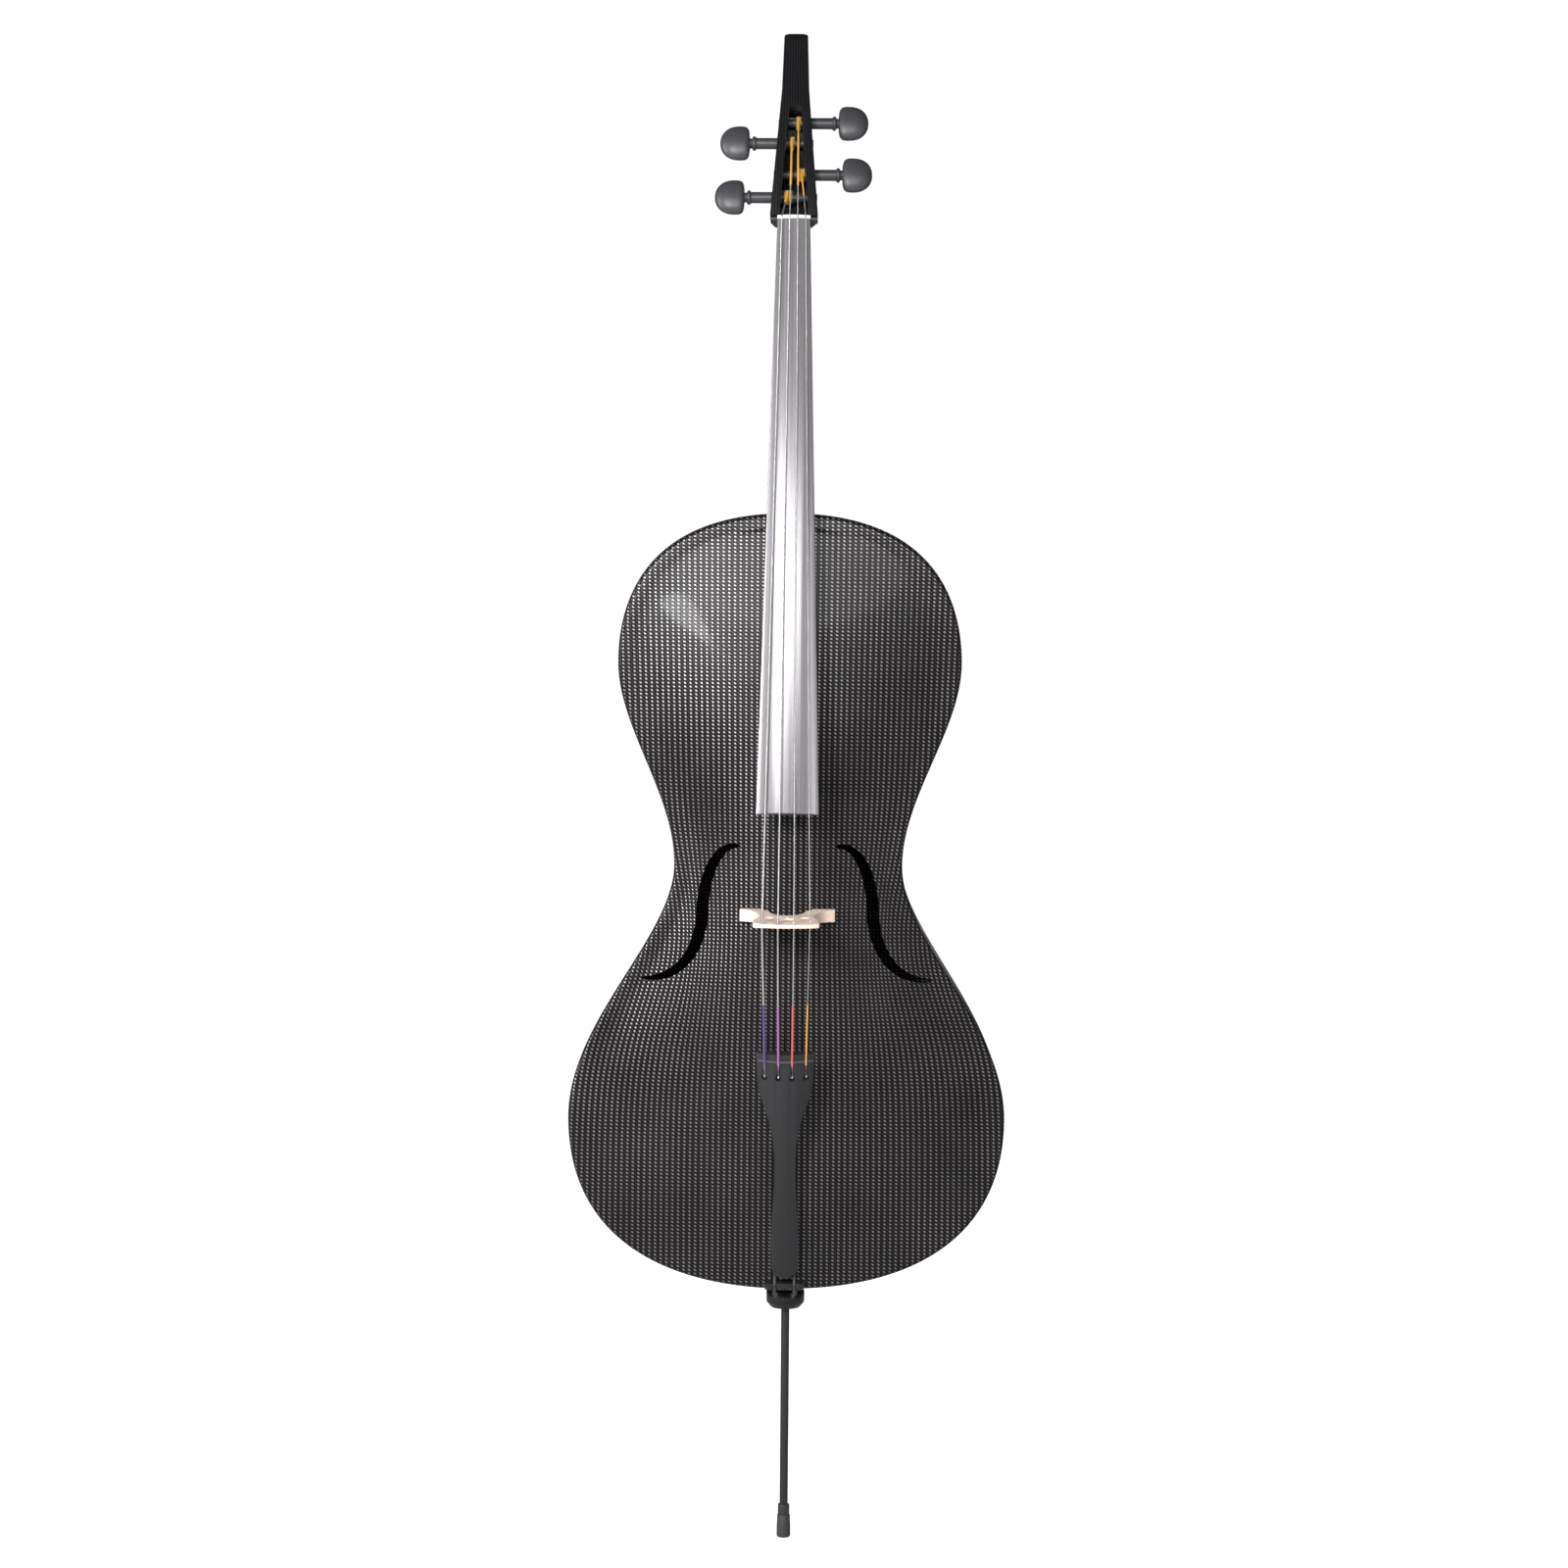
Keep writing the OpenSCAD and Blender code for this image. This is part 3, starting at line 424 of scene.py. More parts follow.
BODY_CLOTH = WovenFinish("carbon_body", (0.002, 0.0018, 0.002), (0.29, 0.264, 0.273), 5.6 * MM, 3.65 * MM,
                         0.00016, 0.3, 0.05, 0.95, 0.1)
HEAD_CLOTH = WovenFinish("carbon_head", (0.003, 0.003, 0.0035), (0.05, 0.045, 0.052), 2.6 * MM, 1.8 * MM,
                         0.00003, 0.22, 0.4, 0.4, 0.4)
ROD_CLOTH = WovenFinish("carbon_rod", (0.014, 0.013, 0.015), (0.07, 0.066, 0.07), 2.2 * MM, 1.6 * MM,
                        0.00006, 0.42, 0.0, 0.2, 0.4)
BOARD = SatinFinish("board", (0.3, 0.288, 0.304), 0.27, uneven=0.06, scale=420.0, stretch=(1.0, 0.02, 0.005),
                    shift=0.35, metal=0.55)
NUT_WHITE = SatinFinish("nut_white", (0.82, 0.8, 0.76), 0.3, shift=0.06)
BLACK_TRIM = SatinFinish("black_trim", (0.006, 0.006, 0.007), 0.28, coat=0.1)
PEG_BLACK = SatinFinish("peg_black", (0.042, 0.04, 0.046), 0.42, scale=600.0)
TAIL_BLACK = SatinFinish("tail_black", (0.012, 0.011, 0.013), 0.55, scale=1400.0)
FRET_GREY = SatinFinish("fret_metal", (0.06, 0.058, 0.065), 0.35)
FERRULE = SatinFinish("ferrule_dark", (0.05, 0.05, 0.054), 0.35, metal=0.5)
BRASS = SatinFinish("brass", (0.72, 0.5, 0.2), 0.3, metal=1.0)
RUBBER = SatinFinish("rubber", (0.034, 0.033, 0.037), 0.6, scale=1100.0)
MAPLE = WoodFinish("maple", (0.9, 0.75, 0.66), (0.76, 0.57, 0.44), (0.12, 1.0, 1.0), flecks=0.5)
SPRUCE = WoodFinish("spruce", (0.78, 0.62, 0.4), (0.58, 0.38, 0.2), (1.0, 1.0, 0.04))
CORD = ThreadFinish("cord_black", (0.02, 0.02, 0.022), 1.4 * MM, 0.5, sheen=0.2)
STEEL = ThreadFinish("string_steel", (0.72, 0.71, 0.73), 0.4 * MM, 0.3, metal=0.9)
PEG_SILK = ThreadFinish("silk_yellow", (0.9, 0.42, 0.012), 0.5 * MM, 0.55, sheen=0.4)
TAIL_SILKS = {
    "c": ThreadFinish("silk_violet", (0.075, 0.035, 0.22), 0.5 * MM, 0.55, sheen=0.4),
    "g": ThreadFinish("silk_purple", (0.42, 0.11, 0.38), 0.5 * MM, 0.55, sheen=0.4),
    "d": ThreadFinish("silk_salmon", (0.85, 0.1, 0.09), 0.5 * MM, 0.55, sheen=0.4),
    "a": ThreadFinish("silk_orange", (0.9, 0.4, 0.03), 0.5 * MM, 0.55, sheen=0.4),
}
Finish = WovenFinish | SatinFinish | WoodFinish | ThreadFinish
MATERIALS: dict[str, bpy.types.Material] = {}


def dressed(finish: Finish) -> bpy.types.Material:
    """Returns a finish's material, built the first time it is asked for.

    Args:
        finish: the finish.

    Returns:
        Its material.
    """
    if finish.name not in MATERIALS:
        MATERIALS[finish.name] = finish.material()
    return MATERIALS[finish.name]


# ---------------------------------------------------------------- mesh building


def place_piece(mesh: bmesh.types.BMesh, name: str, finish: Finish, body: str,
                replaces: Sequence[str] = (), crease: float = 35.0) -> bpy.types.Object:
    """Turns a bmesh into a finished piece that rides on a body.

    Args:
        mesh: the piece's bmesh, already in place.
        name: the piece's name.
        finish: its finish.
        body: the CAD body it rides on.
        replaces: the CAD nodes it stands for.
        crease: the angle in degrees above which an edge shades sharp.

    Returns:
        The new object.
    """
    data = bpy.data.meshes.new(name)
    mesh.to_mesh(data)
    mesh.free()
    data.shade_smooth()
    data.set_sharp_from_angle(angle=math.radians(crease))
    data.materials.append(dressed(finish))
    piece = bpy.data.objects.new(name, data)
    bpy.context.scene.collection.objects.link(piece)
    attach(piece, body)
    if replaces:
        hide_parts(*replaces)
    LOG.info("%s: %d faces on %s", name, len(data.polygons), body)
    return piece


def merged_copy(node: str) -> bmesh.types.BMesh:
    """Copies a CAD node's mesh, joins its loose triangles and clears its flat faces' seams.

    Args:
        node: the CAD node's name.

    Returns:
        The copy.
    """
    mesh = bmesh.new()
    mesh.from_mesh(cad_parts[node].data)
    bmesh.ops.remove_doubles(mesh, verts=mesh.verts, dist=1e-6)
    bmesh.ops.dissolve_limit(mesh, angle_limit=math.radians(0.6), verts=mesh.verts, edges=mesh.edges)
    return mesh


def soften(mesh: bmesh.types.BMesh, width: float, over: float = 32.0) -> None:
    """Rounds the sharp edges of a mesh.

    Args:
        mesh: the mesh.
        width: the rounding's width.
        over: the least angle in degrees of an edge that is rounded.
    """
    sharp = [e for e in mesh.edges if len(e.link_faces) == 2 and e.calc_face_angle(0.0) > math.radians(over)]
    bmesh.ops.bevel(mesh, geom=sharp, offset=width, offset_type="OFFSET", affect="EDGES", segments=3,
                    profile=0.5, material=-1, clamp_overlap=True)


def wrap_cloth(mesh: bmesh.types.BMesh) -> None:
    """Lays the cloth's UV map over a long piece, turning from its front to its sides.

    Args:
        mesh: the mesh, with no UV map yet.
    """
    uv = mesh.loops.layers.uv.new("cloth")
    mesh.normal_update()
    for face in mesh.faces:
        sideways = abs(face.normal.x) > 0.7
        for loop in face.loops:
            at = loop.vert.co
            loop[uv].uv = (at.y if sideways else at.x, at.z)


def unit_square(direction: Vector) -> tuple[Vector, Vector]:
    """Two unit vectors at right angles to a direction and to each other.

    Args:
        direction: the direction.

    Returns:
        The two vectors.
    """
    aside = Vector((1, 0, 0)) if abs(direction.x) < 0.9 else Vector((0, 0, 1))
    first = direction.cross(aside).normalized()
    return first, direction.cross(first).normalized()


def swept_tube(points: Sequence[Vector], radius: float, sides: int) -> bmesh.types.BMesh:
    """Sweeps a circle along points, extruding it ring by ring.

    Args:
        points: the tube's middle line.
        radius: the tube's radius.
        sides: sides of the circle.

    Returns:
        The tube's bmesh.
    """
    mesh = bmesh.new()
    ring = bmesh.ops.create_circle(mesh, cap_ends=True, radius=radius, segments=sides)["verts"]
    last = len(points) - 1
    side_way: Vector | None = None
    edges = list(mesh.edges)
    for index, point in enumerate(points):
        ahead = (points[min(index + 1, last)] - points[max(index - 1, 0)]).normalized()
        if side_way is None:
            side_way = unit_square(ahead)[0]
        side_way = (side_way - ahead * side_way.dot(ahead)).normalized()
        up_way = ahead.cross(side_way)
        if index:
            grown = bmesh.ops.extrude_edge_only(mesh, edges=edges)["geom"]
            edges = [g for g in grown if isinstance(g, bmesh.types.BMEdge)]
            old = ring
            fresh = {v for v in grown if isinstance(v, bmesh.types.BMVert)}
            ring = [next(e.other_vert(v) for e in v.link_edges if e.other_vert(v) in fresh) for v in old]
        for k, vert in enumerate(ring):
            angle = math.tau * k / sides
            vert.co = point + radius * (math.cos(angle) * side_way + math.sin(angle) * up_way)
    bmesh.ops.contextual_create(mesh, geom=edges)
    bmesh.ops.recalc_face_normals(mesh, faces=mesh.faces)
    return mesh


def turned(profile: Iterable[tuple[float, float]], steps: int = 48) -> bmesh.types.BMesh:
    """Spins a profile of (radius, height) points about Z.

    Args:
        profile: the outline from one end of the axis to the other.
        steps: steps of the full turn.

    Returns:
        The turned solid's bmesh.
    """
    mesh = bmesh.new()
    verts = [mesh.verts.new((radius, 0.0, height)) for radius, height in profile]
    edges = [mesh.edges.new(pair) for pair in zip(verts, verts[1:])]
    bmesh.ops.spin(mesh, geom=verts + edges, cent=(0, 0, 0), axis=(0, 0, 1), angle=math.tau, steps=steps,
                   use_merge=True)
    bmesh.ops.remove_doubles(mesh, verts=mesh.verts, dist=1e-6)
    bmesh.ops.recalc_face_normals(mesh, faces=mesh.faces)
    return mesh


def bezier(points: Sequence[tuple[float, float]], t: float) -> Vector:
    """A point of a cubic curve in the plane.

    Args:
        points: its four control points.
        t: place along it, from 0 to 1.

    Returns:
        The point.
    """
    a, b, c, d = (Vector(p) for p in points)
    s = 1.0 - t
    return a * s**3 + b * (3 * t * s * s) + c * (3 * t * t * s) + d * t**3


# ---------------------------------------------------------------- sub-assemblies


@dataclass
class SoundBox:
    """The two moulded carbon shells, their sound holes and what stands inside them."""

    length: float = 757 * MM
    lower_w: float = 426 * MM
    waist_w: float = 222 * MM
    upper_w: float = 334 * MM
    lower_h: float = 167 * MM
    waist_h: float = 415 * MM
    upper_h: float = 612 * MM
    rib_depth: float = 118 * MM
    wall: float = 3 * MM
    back_round: float = 12 * MM
    edge_round: float = 5 * MM
    flat_edge: float = 14 * MM
    top_arch: float = 20 * MM
    back_arch: float = 18 * MM
    hole_w: float = 12 * MM
    bridge_at: float = 362 * MM
    hole_top: tuple[float, float] = (45, 72)
    hole_mid: tuple[float, float] = (83, 7.5)
    hole_low: tuple[float, float] = (144, -57.5)
    top_hook: tuple[float, float] = (26, 5.5)
    low_hook: tuple[float, float] = (-42.5, -4)
    mid_lean: float = 0.026
    mid_up: float = 30
    mid_down: float = 33
    tip_taper: float = 0.5
    end_fall: int = 3
    long_round: float = 1.2
    cross_round: float = 1.4
    steps: int = 44
    columns: int = 84
    half: list[Vector] = field(default_factory=list)
    lengths: list[float] = field(default_factory=list)
    base: float = 0.0

    def __post_init__(self) -> None:
        """Works out the right half of the outline."""
        self.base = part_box("back_shell")[0][2]
        a, b, c = self.lower_w / 2, self.waist_w / 2, self.upper_w / 2
        handles = dict(bottom=118, fall=119, rise=95, dip=71, lift=68, drop=64, lead=70, top=132)
        full = {name: length * MM for name, length in handles.items()}
        curves = [
            [(0, 0), (full["bottom"], 0), (a, self.lower_h - full["fall"]), (a, self.lower_h)],
            [(a, self.lower_h), (a, self.lower_h + full["rise"]), (b, self.waist_h - full["dip"]),
             (b, self.waist_h)],
            [(b, self.waist_h), (b, self.waist_h + full["lift"]), (c, self.upper_h - full["drop"]),
             (c, self.upper_h)],
            [(c, self.upper_h), (c, self.upper_h + full["lead"]), (full["top"], self.length),
             (0, self.length)]]
        self.half = [bezier(curve, k / self.steps) for curve in curves for k in range(self.steps)]
        self.half.append(Vector((0.0, self.length)))

    @property
    def rows(self) -> int:
        """Rows of the outline's right half."""
        return len(self.half) - 1

    def inset(self, row: int, depth: float) -> Vector:
        """A point of the right half, moved inwards.

        Args:
            row: its row.
            depth: distance inwards.

        Returns:
            The point as (x, height).
        """
        if row in (0, self.rows):
            return self.half[row] + Vector((0, depth if row == 0 else -depth))
        ahead = (self.half[row + 1] - self.half[row - 1]).normalized()
        return self.half[row] + depth * Vector((-ahead.y, ahead.x))

    def around(self, step: int, depth: float) -> Vector:
        """A point of the whole outline, counted from the lower end up the right side.

        Args:
            step: its place round the outline.
            depth: distance inwards.

        Returns:
            The point as (x, height).
        """
        if step <= self.rows:
            return self.inset(step, depth)
        point = self.inset(2 * self.rows - step, depth)
        return Vector((-point.x, point.y))

    def rise(self, height: float, across: float) -> float:
        """Share of the full arch at a place on a plate.

        Args:
            height: height above the lower end.
            across: place across, from -1 to 1.

        Returns:
            The share, 0 at the border and 1 at the crown.
        """
        far = min(1.0, abs(2 * height / self.length - 1))
        lengthwise = (1 - far**self.end_fall) ** self.long_round
        return lengthwise * (1 - min(1.0, across * across)) ** self.cross_round

    def drape(self, x: float, height: float) -> tuple[float, float]:
        """Where the cloth's own columns and rows lie at a place on a plate.

        Args:
            x: distance from the centre line.
            height: height above the lower end.

        Returns:
            Distance across the columns and along them.
        """
        pinch_at, pinch_tall, pinch_wide, pinch_gain = 0.345, 0.085, 0.1, 0.22
        flare_at, flare_tall, flare_gain = 0.46, 0.2, 0.05
        pinch = math.exp(-((height - pinch_at) / pinch_tall) ** 2) * min(1.0, (x / pinch_wide) ** 2)
        flare = math.exp(-((height - flare_at) / flare_tall) ** 2)
        return x * (1 + pinch_gain * pinch + flare_gain * flare), height

    def skin(self, arch: float, border: tuple[float, float], rim: Sequence[tuple[float, float]],
             front: int) -> bmesh.types.BMesh:
        """An arched plate whose edge is extruded ring by ring round its rim.

        Args:
            arch: rise of the arch.
            border: inset and depth of the arch's border.
            rim: inset and depth of each ring after the border.
            front: -1 for the top plate and 1 for the back.

        Returns:
            The open skin, with the cloth's UV map.
        """
        mesh = bmesh.new()
        uv = mesh.loops.layers.uv.new("cloth")
        place = mesh.verts.layers.int.new("place")
        grid = bmesh.ops.create_grid(mesh, x_segments=self.columns, y_segments=self.rows, size=1)["verts"]
        for vert in grid:
            column = round((vert.co.x + 1) / 2 * self.columns)
            row = round((vert.co.y + 1) / 2 * self.rows)
            point = self.inset(row, border[0])
            across = 2 * column / self.columns - 1
            depth = border[1] + arch * self.rise(point.y, across)
            on_right = across > 0 or row in (0, self.rows)
            vert[place] = row if on_right else (2 * self.rows - row) % (2 * self.rows)
            vert.co = (across * point.x, front * depth, self.base + point.y)
        bmesh.ops.remove_doubles(mesh, verts=mesh.verts, dist=1e-6)
        bmesh.ops.dissolve_degenerate(mesh, dist=1e-7, edges=mesh.edges)
        for face in mesh.faces:
            for loop in face.loops:
                loop[uv].uv = self.drape(loop.vert.co.x, loop.vert.co.z - self.base)
        edges = [e for e in mesh.edges if len(e.link_faces) == 1]
        run = 0.0
        last = border
        for ring in rim:
            run += math.dist(ring, last)
            self.grow(mesh, edges, ring, front, (run, math.dist(ring, last), border[0]))
            edges = [e for e in mesh.edges if len(e.link_faces) == 1]
            last = ring
        bmesh.ops.recalc_face_normals(mesh, faces=mesh.faces)
        return mesh

    def grow(self, mesh: bmesh.types.BMesh, edges: list[bmesh.types.BMEdge], ring: tuple[float, float],
             front: int, run: tuple[float, float, float]) -> None:
        """Extrudes a skin's edge to its next ring and lays the cloth on the new strip.

        Args:
            mesh: the skin.
            edges: its open edge.
            ring: inset and depth of the new ring.
            front: -1 for the top plate and 1 for the back.
            run: length of the rim to the new ring, length of the new strip, and the border's inset.
        """
        uv = mesh.loops.layers.uv["cloth"]
        place = mesh.verts.layers.int["place"]
        grown = bmesh.ops.extrude_edge_only(mesh, edges=edges)["geom"]
        fresh = {g for g in grown if isinstance(g, bmesh.types.BMVert)}
        for vert in fresh:
            point = self.around(vert[place], ring[0])
            vert.co = (point.x, front * ring[1], self.base + point.y)
        reach = 2 * self.back_round
        for face in (g for g in grown if isinstance(g, bmesh.types.BMFace)):
            for loop in face.loops:
                along = run[0] if loop.vert in fresh else run[0] - run[1]
                step = loop.vert[place]
                middle = sum(v[place] for v in face.verts) / len(face.verts)
                if step == 0 and middle > self.rows:
                    step = 2 * self.rows
                if run[0] < reach:
                    flat = self.around(step % (2 * self.rows), run[2] - along)
                    loop[uv].uv = self.drape(flat.x, flat.y)
                else:
                    loop[uv].uv = (along, self.distance(step))

    def distance(self, step: int) -> float:
        """Length along the outline to a step.

        Args:
            step: the place round the outline.

        Returns:
            The length from the lower end, round the right side.
        """
        if not self.lengths:
            self.lengths.append(0.0)
            for k in range(1, 2 * self.rows + 1):
                hop = self.around(k % (2 * self.rows), 0) - self.around(k - 1, 0)
                self.lengths.append(self.lengths[-1] + hop.length)
        return self.lengths[step]

    def hole_line(self, t: float) -> Vector:
        """Middle line of a sound hole.

        Args:
            t: place along it, from its upper tip at 0 to its lower tip at 1.

        Returns:
            The point as (x, height above the bridge).
        """
        top, middle, low = Vector(self.hole_top), Vector(self.hole_mid), Vector(self.hole_low)
        above = middle + self.mid_up * Vector((-self.mid_lean, 1))
        below = middle + self.mid_down * Vector((self.mid_lean, -1))
        upper = [top, top + Vector(self.top_hook), above, middle]
        lower = [middle, below, low + Vector(self.low_hook), low]
        return (bezier(upper, 2 * t) if t < 0.5 else bezier(lower, 2 * t - 1)) * MM

    def hole_cutter(self, side: int) -> bpy.types.Object:
        """The solid that cuts one sound hole.

        Args:
            side: 1 for the right hole and -1 for the left one.

        Returns:
            The cutter.
        """
        count = 56
        edges: dict[int, list[Vector]] = {1: [], -1: []}
        for k in range(1, count):
            t = k / count
            ahead = (self.hole_line(min(1, t + 0.01)) - self.hole_line(max(0, t - 0.01))).normalized()
            wide = self.hole_w / 2 * math.sin(math.pi * t) ** self.tip_taper
            for edge in edges:
                edges[edge].append(self.hole_line(t) + edge * wide * Vector((-ahead.y, ahead.x)))
        loop = [self.hole_line(0), *edges[1], self.hole_line(1), *reversed(edges[-1])]
        mesh = bmesh.new()
        level = self.base + self.bridge_at
        outside, deep = -0.12, 0.09
        verts = [mesh.verts.new((side * p.x, outside, level + p.y)) for p in loop]
        face = mesh.faces.new(verts)
        grown = bmesh.ops.extrude_face_region(mesh, geom=[face])["geom"]
        moved = [g for g in grown if isinstance(g, bmesh.types.BMVert)]
        bmesh.ops.translate(mesh, verts=moved, vec=(0, deep, 0))
        bmesh.ops.recalc_face_normals(mesh, faces=mesh.faces)
        data = bpy.data.meshes.new("cutter")
        mesh.to_mesh(data)
        mesh.free()
        cutter = bpy.data.objects.new("cutter", data)
        bpy.context.scene.collection.objects.link(cutter)
        return cutter

    def build_top(self) -> bpy.types.Object:
        """Builds the top plate with its two sound holes.

        Returns:
            The plate.
        """
        depth = self.rib_depth / 2
        rim = [(self.edge_round * (1 - math.sin(a)), depth + self.edge_round * math.cos(a))
               for a in (math.radians(d) for d in range(0, 91, 15))]
        mesh = self.skin(self.top_arch, (self.flat_edge, depth + self.edge_round), rim, -1)
        bmesh.ops.solidify(mesh, geom=mesh.faces, thickness=self.wall)
        piece = place_piece(mesh, "top_plate_moulding", BODY_CLOTH, ROOT, ["top_plate"])
        self.cut(piece, [self.hole_cutter(1), self.hole_cutter(-1), self.saddle_cutter()])
        return piece

    def saddle_cutter(self) -> bpy.types.Object:
        """The block that clears the saddle's seat.

        Returns:
            The cutter.
        """
        low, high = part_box("saddle")
        room = 0.05 * MM
        mesh = bmesh.new()
        bmesh.ops.create_cube(mesh, size=1)
        deep, below = 0.08, 0.02
        span = Vector((high[0] - low[0] + 2 * room, deep, high[2] - low[2] + below))
        bmesh.ops.scale(mesh, verts=mesh.verts, vec=span)
        top = high[2] + room
        bmesh.ops.translate(mesh, verts=mesh.verts,
                            vec=(0, -self.rib_depth / 2 - span.y / 2 + 1 * MM, top - span.z / 2))
        data = bpy.data.meshes.new("seat")
        mesh.to_mesh(data)
        mesh.free()
        cutter = bpy.data.objects.new("seat", data)
        bpy.context.scene.collection.objects.link(cutter)
        return cutter

    @staticmethod
    def cut(piece: bpy.types.Object, cutters: Sequence[bpy.types.Object]) -> None:
        """Cuts solids out of a piece for good.

        Args:
            piece: the piece.
            cutters: the solids, which are removed afterwards.
        """
        for cutter in cutters:
            change = piece.modifiers.new("cut", "BOOLEAN")
            change.operation = "DIFFERENCE"
            change.solver = "EXACT"
            change.object = cutter
        shaped = bpy.data.meshes.new_from_object(piece.evaluated_get(bpy.context.evaluated_depsgraph_get()))
        shaped.shade_smooth()
        shaped.set_sharp_from_angle(angle=math.radians(35))
        piece.modifiers.clear()
        piece.data = shaped
        for cutter in cutters:
            bpy.data.objects.remove(cutter)

    def build_back(self) -> bpy.types.Object:
        """Builds the back and ribs as one moulding.

        Returns:
            The moulding.
        """
        flat = self.rib_depth / 2 + self.wall
        rounded = [(self.back_round * (1 - math.sin(a)), flat - self.back_round * (1 - math.cos(a)))
                   for a in (math.radians(d) for d in range(10, 91, 10))]
        rows = 12
        seam = 0.15 * MM
        tall = flat - self.back_round + self.rib_depth / 2 - seam
        ribs = [(0.0, flat - self.back_round - k * tall / rows) for k in range(1, rows + 1)]
        mesh = self.skin(self.back_arch, (self.back_round, flat), rounded + ribs, 1)
        bmesh.ops.solidify(mesh, geom=mesh.faces, thickness=self.wall)
        return place_piece(mesh, "back_and_ribs_moulding", BODY_CLOTH, ROOT, ["back_shell"])

    def build(self) -> None:
        """Builds the shells and dresses the woodwork inside."""
        self.build_top()
        self.build_back()
        for node in ("rim_lining", "neck_block", "end_block", "bass_bar", "sound_post"):
            dress_node(node, SPRUCE)


def dress_node(node: str, finish: Finish) -> None:
    """Gives a CAD node that stays as it is its material.

    Args:
        node: the node's name.
        finish: its finish.
    """
    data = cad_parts[node].data
    data.materials.clear()
    data.materials.append(dressed(finish))


@dataclass
class CarvedPart:
    """A piece that keeps its CAD shape and gets rounded edges."""

    node: str
    name: str
    finish: Finish
    slot: str
    rounding: float
    body: str = ROOT

    def build(self) -> bpy.types.Object:
        """Builds the piece.

        Returns:
            The softened copy.
        """
        mesh = merged_copy(self.node)
        if self.rounding:
            soften(mesh, self.rounding)
        if isinstance(self.finish, WovenFinish):
            wrap_cloth(mesh)
        return place_piece(mesh, self.name, self.finish, self.body, [self.node])


@dataclass
class HeadFrame:
    """The leaning frame of the head, in which the pegs lie."""

    at: Vector = field(default_factory=lambda: Vector((0, -45.11, 1306.454)) * MM)
    lean: float = math.radians(-18)
    peg_depth: float = 17 * MM

    def matrix(self) -> Matrix:
        """Returns the frame's matrix."""
        return Matrix.Translation(self.at) @ Matrix.Rotation(self.lean, 4, "X")

    def peg_matrix(self, height: float, side: Side) -> Matrix:
        """The frame of one peg, with +Z towards its thumb piece.

        Args:
            height: the peg's height along the head.
            side: the side of its thumb piece.

        Returns:
            The matrix.
        """
        turn = Matrix.Rotation(side.value * math.pi / 2, 4, "Y")
        return self.matrix() @ Matrix.Translation((0, self.peg_depth, height)) @ turn


